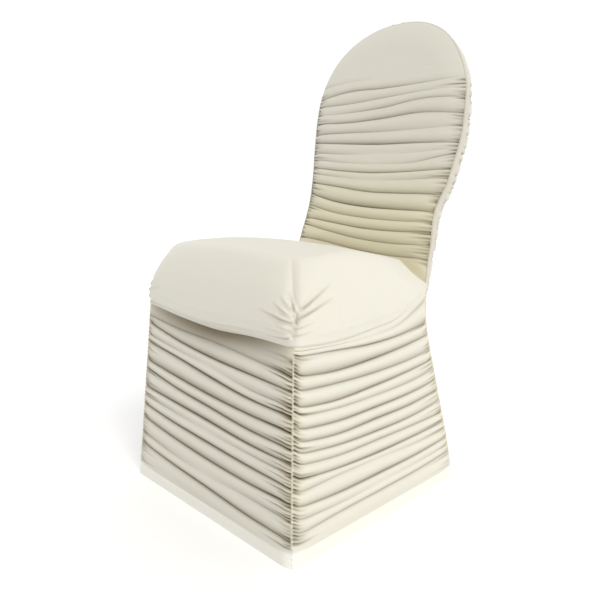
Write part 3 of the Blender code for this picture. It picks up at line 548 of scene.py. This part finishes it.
# Left panel of the skirt, away from the view, cut and gathered as the right one is.
LEFT_FOLDS = (
    # rear quarter middle three_quarter front | deep_rear deep_middle deep_front
    (412, 366, 353, 358, 367, 0.0, 0.0, 0.0),
    (378, 350, 342, 346, 356, 3.0, 0.5, 2.0),
    (344, 333, 329, 334, 344, 3.5, 5.0, 3.0),
    (315, 305, 298, 301, 310, 3.5, 5.5, 4.0),
    (284, 278, 275, 277, 283, 3.0, 4.0, 4.0),
    (261, 254, 249, 250, 258, 3.5, 5.0, 4.0),
    (235, 228, 225, 228, 235, 3.0, 4.5, 3.5),
    (209, 203, 199, 202, 211, 3.5, 5.0, 4.0),
    (186, 179, 174, 176, 186, 3.0, 4.5, 3.5),
    (162, 155, 152, 156, 164, 3.5, 3.5, 3.5),
    (139, 133, 128, 131, 138, 3.0, 5.0, 3.5),
    (114, 108, 104, 106, 113, 3.5, 3.5, 3.5),
    (89, 84, 80, 83, 91, 3.0, 5.0, 3.0),
    (56, 52, 49, 50, 54, 3.0, 4.0, 3.0),
    (22, 22, 22, 22, 22, 0.0, 0.6, 0.0),
    (0, 0, 0, 0, 0, 0.0, 0.0, 0.0),
)
skirt_left = skirt_panel(
    "left", LEFT_FOLDS, 140, 11, 0.60, 1.15,
    ((0.0100, 0.0028, 0.030), (0.0082, 0.0032, 0.020)), (0.003, 0.005), 31)

# Front piece of the backrest, from the crease behind the seat to the crown.
# The same knit, smooth over the round crown. Below the shoulders it is gathered on both
# side seams and lies in long cross folds.
BACK_HEIGHTS = (0.412, 0.512, 0.612, 0.712, 0.812, 0.892, 0.944)
BACK_DEPTHS = (0.1700, 0.1998, 0.2296, 0.2574, 0.2802, 0.2964, 0.3073)
WAIST_HEIGHTS = (0.412, 0.442, 0.492, 0.552, 0.612, 0.692, 0.772)
WAIST_WIDTHS = (0.196, 0.190, 0.185, 0.180, 0.188, 0.202, 0.203)
SHOULDER = (0.203, 0.772)
CROWN_TOP = 0.944
CROWN_POWER = 2.15
UNEVEN_HEIGHTS = (0.412, 0.492, 0.552, 0.612, 0.652, 0.692, 0.752, 0.792, 0.856, 0.892, 0.944)
UNEVEN_LEFT = (0.0, 0.0, 0.0, -0.002, -0.002, -0.001, 0.005, 0.005, 0.003, 0.003, 0.0)
UNEVEN_RIGHT = (0.0, 0.002, 0.001, 0.009, 0.006, 0.004, 0.0, -0.004, -0.010, -0.008, 0.0)
BACK_NARROWNESS = 0.50
BACK_SPAN = 0.39
BACK_GATHERS = (0.0066, 0.0044, 0.021)
BACK_GATHERED = (0.805, 0.440)
BACK_PAD = 0.008
BACK_PAD_REACH = 0.050
SEAM_SINK = 0.0014
BACK_FRONT_FOLDS = (
    # left quarter middle three_quarter right | deep_left deep_middle deep_right
    (850, 850, 850, 850, 850, 0.0, 0.0, 0.0),
    (825, 830, 830, 832, 832, 1.5, 0.0, 0.0),
    (796, 808, 806, 807, 810, 3.5, 3.5, 0.5),
    (780, 780, 785, 790, 792, 3.0, 2.5, 0.5),
    (760, 760, 764, 775, 772, 1.0, 3.5, 2.0),
    (742, 738, 741, 747, 739, 3.5, 4.5, 2.5),
    (716, 715, 713, 713, 715, 4.0, 2.5, 0.8),
    (697, 691, 686, 685, 683, 4.0, 5.5, 3.0),
    (674, 667, 664, 665, 673, 3.5, 0.3, 1.5),
    (659, 649, 644, 645, 663, 2.5, 0.8, 3.0),
    (639, 630, 625, 627, 632, 3.5, 4.5, 3.0),
    (626, 616, 609, 611, 616, 2.5, 0.5, 3.0),
    (605, 595, 585, 583, 583, 4.0, 4.5, 4.0),
    (580, 562, 553, 550, 549, 4.5, 6.0, 4.0),
    (555, 538, 530, 527, 528, 3.5, 3.5, 2.5),
    (525, 516, 508, 506, 509, 4.0, 4.5, 3.5),
    (511, 496, 485, 481, 484, 3.5, 3.5, 3.0),
    (481, 472, 462, 457, 458, 3.5, 4.0, 3.0),
    (412, 452, 445, 444, 412, 0.0, 0.0, 0.0),
)


def back_half_width(height, side):
    """Half width of the backrest along its left (-1) or right (1) seam."""
    half, shoulder = SHOULDER
    share = np.clip((height - shoulder) / (CROWN_TOP - shoulder), 0.0, 1.0)
    crown = half * (1 - share ** CROWN_POWER) ** (1 / CROWN_POWER)
    width = np.where(height <= shoulder, smooth_table(height, WAIST_HEIGHTS, WAIST_WIDTHS), crown)
    uneven = UNEVEN_LEFT if side < 0 else UNEVEN_RIGHT
    return width + smooth_table(height, UNEVEN_HEIGHTS, uneven) * np.minimum(width / 0.1, 1.0)


def back_plane(x, height):
    return point(x, smooth_table(height, BACK_HEIGHTS, BACK_DEPTHS), height)


def back_forward(height):
    """Direction out of the leaning surface, to the front."""
    reach = 0.002
    rise = smooth_table(height + reach, BACK_HEIGHTS, BACK_DEPTHS)
    rise = rise - smooth_table(height - reach, BACK_HEIGHTS, BACK_DEPTHS)
    return unit(point(0.0, -1.0, rise / (2 * reach)))


def rear_edge(side, height):
    """Half widths of the rear piece: the corner seam, then the backrest's side seam."""
    below = smooth_table(height, REAR_HEIGHTS, REAR_WIDTHS)
    return side * np.where(height <= REAR_SEAM_TOP, below, back_half_width(height, side))


def outline_distance(x, height):
    """Shortest way in the leaning plane from points to the rear piece's outline."""
    crown = CROWN_TOP - 0.06 * np.linspace(1, 0, 90) ** 2
    levels = np.concatenate([np.linspace(0.0, crown[0], 260), crown])
    found = np.full(np.shape(x), 9.0)
    for side in (-1, 1):
        edge = np.stack([rear_edge(side, levels), levels], axis=-1)
        for start in range(0, len(edge) - 1):
            step = edge[start + 1] - edge[start]
            offset_x = x - edge[start, 0]
            offset_z = height - edge[start, 1]
            along = (offset_x * step[0] + offset_z * step[1]) / max(step @ step, 1e-12)
            along = np.clip(along, 0.0, 1.0)
            away = np.hypot(offset_x - along * step[0], offset_z - along * step[1])
            found = np.minimum(found, away)
    return found


def crown_levels(count, lowest):
    """Heights of the crown's rows, close together at the very top."""
    share = np.linspace(0.0, 1.0, count, endpoint=False)
    return CROWN_TOP - 0.0002 - (CROWN_TOP - 0.0002 - lowest) * share ** 2


def outline_out(side, height):
    """Direction out of the outline at the side seams."""
    reach = 0.0008
    low = back_half_width(height - reach, side)
    high = back_half_width(np.minimum(height + reach, CROWN_TOP), side)
    rise = np.minimum(height + reach, CROWN_TOP) - (height - reach)
    forward = back_forward(height)
    up = point(0.0, forward[..., 2], -forward[..., 1])
    flat = unit(np.stack([rise, low - high], axis=-1))
    return flat[..., :1] * point(side, 0.0, 0.0 * height) + flat[..., 1:] * up


back_shares = seam_crowded(170, 0.60)
fold_heights, fold_moves, fold_places = fold_rows(BACK_FRONT_FOLDS, back_shares, 11,
                                                   BACK_NARROWNESS)
for seam_distance, seed in ((back_shares * BACK_SPAN, 41), ((1 - back_shares) * BACK_SPAN, 42)):
    fold_moves = fold_moves + gathers(fold_heights, fold_places, seam_distance,
                                      *BACK_GATHERS, seed, *BACK_GATHERED)
crown = np.repeat(crown_levels(34, 0.858)[:, None], len(back_shares), axis=1)
heights = np.vstack([crown, fold_heights])
moves = np.vstack([np.zeros_like(crown), fold_moves])
left = -back_half_width(heights[:, :1], -1)
right = back_half_width(heights[:, -1:], 1)
x = left + (right - left) * back_shares
distance = outline_distance(x, heights)
foot = ease((heights - heights[-1]) / 0.050)
pad = BACK_PAD * (1 - (1 - np.minimum(distance / BACK_PAD_REACH, 1.0)) ** 2) * foot
base = back_plane(x, heights) + back_forward(heights) * pad[..., None]
normals = grid_normals(base)
to_seam = ease(distance / 0.0040)
seam_moves = moves * to_seam - SEAM_SINK * (1 - to_seam) * ease((heights - REAR_SEAM_TOP) / 0.02)
seam_moves[-1] = 0.0
outer = base + normals * seam_moves[..., None]
crown_v = CROWN_TOP - crown[:, 0]
back_v = np.concatenate([crown_v, crown_v[-1] + fold_places * FOLD_LENGTH])
uv = np.stack([x, np.broadcast_to(back_v[:, None], x.shape)], -1)
marks = cloth_marks(seam_moves, np.zeros_like(heights))
# Painted warm bounce light on the lower backrest, yellower towards the crease.
marks["warm_painted_light"] = 0.75 * ease((0.690 - heights) / 0.18)
back_front = sheet_mesh("cloth_back_front", outer, normals, uv, marks)
back_front.data.materials.append(knit)
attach(back_front, "root")
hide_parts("back_front")

# Rear piece, from the crown down over the back of the backrest to the floor.
# One long piece of the same knit with its own cross folds. Its edge rolls round the
# backrest's rim to the side seams, and below the seat it closes the skirt.
STAND_HEIGHTS = (0.0, 0.092, 0.192, 0.312, 0.372, 0.412, 0.472, 0.944)
STANDS = (0.007, 0.008, 0.009, 0.012, 0.018, 0.026, 0.034, 0.036)
RIM_WIDTH = 0.014
REAR_NARROWNESS = 0.60
REAR_SPAN = 0.42
REAR_GATHERS = (0.0066, 0.0050, 0.026)
REAR_GATHERED = (0.800, 0.030)
REAR_FOLD_LENGTH = 0.036
REAR_HEM_PALENESS = 0.35
BACK_REAR_FOLDS = (
    # left quarter middle three_quarter right | deep_left deep_middle deep_right
    (808, 814, 817, 814, 810, 1.0, 0.5, 1.5),
    (770, 779, 781, 776, 772, 1.5, 3.0, 2.0),
    (736, 742, 748, 744, 734, 2.0, 4.0, 2.0),
    (700, 708, 710, 703, 700, 2.0, 3.5, 2.0),
    (664, 668, 675, 672, 667, 2.0, 4.5, 2.0),
    (629, 635, 637, 632, 626, 2.0, 4.0, 2.0),
    (596, 600, 606, 603, 598, 2.0, 4.5, 2.0),
    (562, 569, 569, 564, 563, 2.0, 4.0, 2.0),
    (528, 532, 538, 535, 527, 2.0, 4.5, 2.0),
    (495, 501, 502, 497, 493, 2.0, 4.0, 2.0),
    (460, 465, 470, 467, 462, 2.0, 4.5, 2.0),
    (412, 429, 434, 428, 412, 1.5, 4.0, 1.5),
    (380, 390, 397, 394, 384, 2.0, 4.5, 2.0),
    (346, 355, 356, 350, 344, 2.0, 4.0, 2.0),
    (310, 315, 322, 320, 314, 2.5, 5.0, 2.5),
    (276, 282, 283, 278, 273, 2.5, 4.0, 2.5),
    (242, 244, 251, 250, 244, 2.5, 5.0, 2.5),
    (206, 214, 214, 208, 204, 2.5, 4.5, 2.5),
    (173, 176, 182, 182, 175, 2.5, 5.0, 2.5),
    (139, 145, 145, 140, 137, 2.5, 4.0, 2.5),
    (104, 106, 113, 112, 106, 2.5, 5.0, 2.5),
    (72, 77, 76, 71, 68, 2.5, 4.0, 2.5),
    (44, 45, 47, 46, 44, 1.5, 3.0, 1.5),
    (22, 22, 22, 22, 22, 0.0, 0.6, 0.0),
    (0, 0, 0, 0, 0, 0.0, 0.0, 0.0),
)
rear_shares = seam_crowded(120, 0.88)
fold_heights, fold_moves, fold_places = fold_rows(BACK_REAR_FOLDS, rear_shares, 9,
                                                   REAR_NARROWNESS)
for seam_distance, seed in ((rear_shares * REAR_SPAN, 51), ((1 - rear_shares) * REAR_SPAN, 52)):
    fold_moves = fold_moves + gathers(fold_heights, fold_places, seam_distance,
                                      *REAR_GATHERS, seed, *REAR_GATHERED)
crown = np.repeat(crown_levels(34, 0.816)[:, None], len(rear_shares), axis=1)
heights = np.vstack([crown, fold_heights])
moves = np.vstack([np.zeros_like(crown), fold_moves])
left = rear_edge(-1, heights[:, :1])
right = rear_edge(1, heights[:, -1:])
x = left + (right - left) * rear_shares
distance = outline_distance(x, heights)
near = np.minimum(distance / RIM_WIDTH, 1.0)
near[:, [0, -1]] = 0.0
near[0] = 0.0
turned = ease((heights - REAR_SEAM_TOP) / 0.13)
away = unit(point(0.0, 1.0, -back_forward(heights)[..., 2] * turned))
below = corner(1, "rear", np.minimum(heights, REAR_SEAM_TOP))[..., 1]
above = back_plane(x, np.maximum(heights, REAR_SEAM_TOP))[..., 1]
start = point(x, np.where(heights <= REAR_SEAM_TOP, below, above), heights)
stand = smooth_table(heights, STAND_HEIGHTS, STANDS) * np.sqrt(1 - (1 - near) ** 2)
base = start + away * stand[..., None]
normals = -grid_normals(base)
to_seam = ease(distance / 0.0050)
seam_moves = moves * to_seam - SEAM_SINK * (1 - to_seam)
outer = base + normals * seam_moves[..., None]
stitch = STITCH_DEPTH * np.exp(-((heights - STITCH_HEIGHT) / STITCH_WIDTH) ** 2)
outer -= normals * stitch[..., None]
pocket = np.exp(-(distance / PALE_REACH) ** 4) * ease((PALE_TOP - heights) / PALE_EDGE)
doubled = np.maximum(REAR_HEM_PALENESS * ease((HEM_TOP - heights) / HEM_EDGE), pocket)
crown_v = CROWN_TOP - crown[:, 0]
rear_v = np.concatenate([crown_v, crown_v[-1] + fold_places * REAR_FOLD_LENGTH])
uv = np.stack([x, np.broadcast_to(rear_v[:, None], x.shape)], -1)
back_rear = sheet_mesh("cloth_back_rear", outer[:, ::-1], normals[:, ::-1], uv[:, ::-1],
                       {key: value[:, ::-1] for key, value in cloth_marks(seam_moves, doubled).items()})
back_rear.data.materials.append(knit)
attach(back_rear, "root")
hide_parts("back_rear")

# Seat panel, stretched smooth over the padded cushion.
# One piece of the same knit. Its lower edge meets the skirt all round and the backrest in
# the crease, its front rolls over the cushion's edge into the lip.
SEAT_MIDDLE = -0.0135
SEAT_HALF_DEPTH = 0.1835
SEAT_CROWN = 0.499
SEAT_ROUND = 0.036
REAR_SQUARENESS = 1.3
REAR_HALF = 0.10
STEEP_SHARE = 0.28
DOME_MIDDLE = -0.045
DOME_FRONT = 0.152
DOME_FRONT_POWER = 3
DOME_REAR = 0.220
DOME_REAR_POWER = 1.3
FALL_SIDE = 0.012
FALL_FRONT = 0.012
FALL_REAR = 0.045
FRONT_PAD = 0.016
SIDE_PAD = 0.006
CREASE_COLUMNS = 50
EDGE_CROWDING = 0.55
LEFT_CREASE_SHARE = 0.5
CREASES_START = 0.006
# Painted shade under the cushion's front roll: its height, reach and strength.
ROLL_HEIGHT = 0.385
ROLL_REACH = 0.030
ROLL_SHADE = 0.55
SEAT_RINGS = (
    # inset, share of the pad's swelling, squareness of the ring
    (0.0000, 0.00, 100),
    (0.0004, 0.80, 60),
    (0.0015, 1.00, 30),
    (0.0045, 1.00, 16),
    (0.0100, 0.85, 11),
    (0.0180, 0.55, 8.5),
    (0.0300, 0.25, 7.5),
    (0.0600, 0.00, 5.5),
    (0.1100, 0.00, 4.5),
)


def seat_top(x, y):
    """Height of the crowned cushion."""
    along = y - DOME_MIDDLE
    front = FALL_FRONT * np.abs(along / DOME_FRONT) ** DOME_FRONT_POWER
    rear = FALL_REAR * np.abs(along / DOME_REAR) ** DOME_REAR_POWER
    fall = np.where(along < 0, front, rear)
    return SEAT_CROWN - FALL_SIDE * (x / SEAT_FRONT[0]) ** 2 - fall


def along_ring(points):
    """Share of the way round a closed ring at each of its points."""
    steps = np.linalg.norm(np.roll(points, -1, axis=0) - points, axis=1)
    return np.concatenate([[0.0], np.cumsum(steps)]) / np.sum(steps)


# Creases that the front corner seams pull into the cushion's cover, seen square to the
# corner: across and height of the outer end, then of the end at the seam
CORNER_CREASES = (
    # across, height | across, height | deep, wide
    (-0.040, 0.409, 0.008, 0.393, 0.0044, 0.0028),
    (-0.020, 0.422, 0.010, 0.399, 0.0036, 0.0026),
    (-0.009, 0.433, 0.011, 0.405, 0.0030, 0.0024),
    (0.004, 0.437, 0.014, 0.412, 0.0030, 0.0024),
    (-0.014, 0.388, 0.008, 0.381, 0.0028, 0.0024),
    (-0.036, 0.380, 0.000, 0.379, 0.0016, 0.0020),
    (-0.032, 0.367, 0.004, 0.371, 0.0032, 0.0026),
    (0.068, 0.445, 0.026, 0.415, 0.0036, 0.0028),
    (0.070, 0.422, 0.018, 0.399, 0.0044, 0.0028),
    (0.030, 0.408, 0.018, 0.404, 0.0018, 0.0018),
    (0.038, 0.399, 0.018, 0.395, 0.0020, 0.0020),
    (0.042, 0.391, 0.014, 0.384, 0.0020, 0.0022),
    (0.040, 0.377, 0.012, 0.374, 0.0022, 0.0022),
)


def corner_creases(points, side):
    """Troughs of the creases at the left (-1) or right (1) front corner."""
    across = (side * points[..., 0] + points[..., 1]) / math.sqrt(2)
    outward = (side * points[..., 0] - points[..., 1]) / math.sqrt(2)
    height = points[..., 2]
    found = np.zeros(height.shape)
    for from_across, from_height, to_across, to_height, deep, wide in CORNER_CREASES:
        step_across = to_across - from_across
        step_height = to_height - from_height
        part = (across - from_across) * step_across + (height - from_height) * step_height
        part = np.clip(part / (step_across ** 2 + step_height ** 2), 0.0, 1.0)
        away = np.hypot(across - from_across - part * step_across,
                        height - from_height - part * step_height)
        trough = np.exp(-(away / wide) ** 2) * (0.15 + 0.85 * part)
        ridge = np.exp(-((away - 2.1 * wide) / (1.2 * wide)) ** 2) * (0.1 + 0.9 * part)
        found += deep * (0.45 * ridge - trough)
    return found * ease((outward - 0.16) / 0.05)


crease_half = float(back_half_width(np.array(REAR_SEAM_TOP), 1))
crease_shares = np.linspace(0.0, 1.0, CREASE_COLUMNS)
crease_height = smooth_table(crease_shares, HEIGHT_AT, BACK_FRONT_FOLDS[-1][:5]) / 1000
crease_edge = back_plane(-crease_half + 2 * crease_half * crease_shares, crease_height)
edge_parts = [crease_edge]
swell_parts = [np.zeros_like(crease_edge)]
steep_parts = [np.zeros(len(crease_shares))]
for panel, folds, count in (("right", RIGHT_FOLDS, 120), ("front", FRONT_FOLDS, 140),
                            ("left", LEFT_FOLDS, 100)):
    backwards = seam_crowded(count, EDGE_CROWDING)[::-1][1:]
    if panel == "left":
        backwards = backwards[:-1]
    level = smooth_table(backwards, HEIGHT_AT, folds[0][:5]) / 1000
    points, out = skirt_base(panel, backwards, level, level)
    pad = FRONT_PAD + LIP_RECESS if panel == "front" else SIDE_PAD
    middle = np.sin(math.pi * np.clip(backwards, 0, 1)) ** LIP_FULLNESS
    from_rear = {"right": 1 - backwards, "left": backwards}.get(panel, np.ones(len(backwards)))
    edge_parts.append(points)
    swell_parts.append(out * (pad * middle)[:, None])
    steep_parts.append(ease(from_rear / STEEP_SHARE))
edge = np.concatenate(edge_parts)
swells = np.concatenate(swell_parts)
steeps = np.concatenate(steep_parts)

half = np.array([SEAT_FRONT[0], SEAT_HALF_DEPTH])
middle = np.array([0.0, SEAT_MIDDLE])
target = along_ring(edge)[:-1]
steps = np.concatenate([np.linspace(0, 1, 13)[1:], np.linspace(1, 2, 13)[1:],
                        np.linspace(2, 5, 43)[1:], np.linspace(5, 8, 16)[1:]])
numbers = np.arange(len(SEAT_RINGS))
ring_table = np.array(SEAT_RINGS)
rings = [edge]
for step in steps:
    inset = np.interp(step, numbers, ring_table[:, 0])
    swell = np.interp(step, numbers, ring_table[:, 1])
    square = math.exp(np.interp(step, numbers, np.log(ring_table[:, 2])))
    flat = (edge[:, :2] - middle) * (1 - inset / half)
    scaled = np.abs(flat) / half
    widest = scaled.max(axis=1)
    power = square * (1 + REAR_SQUARENESS * ease(flat[:, 1] / REAR_HALF))
    rounded = widest * ((scaled / widest[:, None]) ** power[:, None]).sum(axis=1) ** (1 / power)
    flat = flat * (widest / rounded)[:, None]
    part = min(inset / SEAT_ROUND, 1.0)
    rise = steeps * math.sqrt(1 - (1 - part) ** 2) + (1 - steeps) * part
    ring = np.zeros_like(edge)
    ring[:, :2] = flat + middle
    ring += swells * swell
    tops = seat_top(ring[:, 0], ring[:, 1])
    ring[:, 2] = edge[:, 2] + (tops - edge[:, 2]) * rise
    spread = min(step / 3, 1.0)
    own = along_ring(ring)
    wanted = own[:-1] * (1 - spread) + target * spread
    closed = np.vstack([ring, ring[:1]])
    rings.append(np.array([np.interp(wanted, own, closed[:, k]) for k in range(3)]).T)
last = rings[-1]
for scale in np.linspace(1.0, 0.0, 14)[1:]:
    ring = last.copy()
    ring[:, :2] = middle + (last[:, :2] - middle) * scale
    ring[:, 2] = seat_top(ring[:, 0], ring[:, 1])
    rings.append(ring)
base = np.array(rings)
down = np.gradient(base, axis=0)
across = np.roll(base, -1, axis=1) - np.roll(base, 1, axis=1)
normals = unit(np.cross(across, down))
normals[-3:] = np.array([0.0, 0.0, 1.0])
seat_moves = corner_creases(base, 1) + LEFT_CREASE_SHARE * corner_creases(base, -1)
rings_up = np.linalg.norm(base - base[0], axis=-1)
seat_moves *= ease(rings_up / CREASES_START)
seat_marks = cloth_marks(seat_moves, np.zeros_like(seat_moves))
# Painted shade under the cushion's front roll, on the faces that look forward.
painted_roll_shade = np.exp(-((base[..., 2] - ROLL_HEIGHT) / ROLL_REACH) ** 2)
painted_roll_shade *= ease((-normals[..., 1] - 0.3) / 0.6)
seat_marks["crest"] = seat_marks["crest"] * (1 - ROLL_SHADE * painted_roll_shade)
outer = base + normals * seat_moves[..., None]
uv = base[..., :2]
seat = sheet_mesh("cloth_seat", outer[::-1], normals[::-1], uv[::-1],
                  {key: value[::-1] for key, value in seat_marks.items()}, closed=True)
seat.data.materials.append(knit)
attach(seat, "root")
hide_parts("seat")

# Foot pockets: a cup of doubled knit inside each lower corner, which hooks under the foot.
# Each is a low wall along the hem that turns in under the foot.
POCKET_HEIGHT = 0.026
POCKET_REACH = 0.020
POCKET_CLEARANCE = 0.0012
POCKET_LIFT = 0.0004
POCKET_RIPPLE = 0.0005
doubled_knit = stretch_knit("doubled_knit", (0.80, 0.785, 0.72, 1.0), (0.56, 0.50, 0.38, 1.0),
                            (0.83, 0.815, 0.75, 1.0))


def pocket_path(side, end):
    """Points and outward directions of the hem round a lower corner."""
    stations = []
    panels = {(-1, "front"): ("left", "front"), (1, "front"): ("front", "right"),
              (1, "rear"): ("right", None), (-1, "rear"): (None, "left")}
    before, after = panels[(side, end)]
    for panel, from_end in ((before, True), (after, False)):
        reach = np.linspace(POCKET_REACH, 0.0, 9)
        if panel is None:
            near = np.minimum(reach / RIM_WIDTH, 1.0)
            stand = STANDS[0] * np.sqrt(1 - (1 - near) ** 2)
            start = corner(side, end, np.array(0.0))
            points = start + point(-side * reach, stand, 0.0)
            out = unit(point(side * (1 - near), 0.4 + near, 0.0))
        else:
            ends = SKIRT_CORNERS[panel]
            width = np.linalg.norm(corner(*ends[1], np.array(0.0)) - corner(*ends[0], np.array(0.0)))
            share = 1 - reach / width if from_end else reach / width
            points, out = skirt_base(panel, share, np.zeros_like(share), 0.4)
            seam = corner_out(side, end, np.zeros_like(share))
            weight = (1 - np.minimum(reach / (CORNER_SHARE * width), 1.0))[:, None]
            out = unit(seam * weight + out * (1 - weight))
        stations.append((points, out) if from_end else (points[::-1], out[::-1]))
    points = np.concatenate([stations[0][0], stations[1][0][1:]])
    return points, np.concatenate([stations[0][1], stations[1][1][1:]])


for side, word in ((-1, "left"), (1, "right")):
    for end in ("front", "rear"):
        path, out = pocket_path(side, end)
        wall = path - out * (CLOTH + POCKET_CLEARANCE)
        lean = corner(side, end, np.array(POCKET_HEIGHT)) - corner(side, end, np.array(0.0))
        inside = (wall[0] + wall[-1]) / 2
        rows = []
        for share in np.linspace(1.0, 0.15, 9):
            rows.append(wall + lean * share)
        for turn in np.linspace(0.0, 1.0, 7):
            drop = 0.15 * (1 - turn) ** 2
            rows.append(wall + lean * drop + (inside - wall) * 0.30 * turn ** 1.5
                        + point(0, 0, POCKET_LIFT))
        grid = np.array(rows)
        skin = -grid_normals(grid) if np.sum(grid_normals(grid)[2, 8] * out[8]) < 0 else grid_normals(grid)
        ripple = POCKET_RIPPLE * np.sin(np.linspace(0, 9 * math.pi, grid.shape[1]))
        grid = grid - skin * np.abs(ripple)[None, :, None]
        uv = np.stack(np.broadcast_arrays(np.linspace(0, 0.05, grid.shape[1])[None, :],
                                          np.linspace(0, 0.035, grid.shape[0])[:, None]), -1)
        flip = np.sum(grid_normals(grid)[2, 8] * skin[2, 8]) < 0
        marks = cloth_marks(np.zeros(grid.shape[:2]), np.ones(grid.shape[:2]))
        if flip:
            grid = grid[:, ::-1]
            skin = skin[:, ::-1]
        pocket = sheet_mesh(f"cloth_pocket_{end}_{word}", grid, skin, uv, marks)
        pocket.data.materials.append(doubled_knit)
        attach(pocket, "root")
        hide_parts(f"foot_pocket_{end}_{word}")
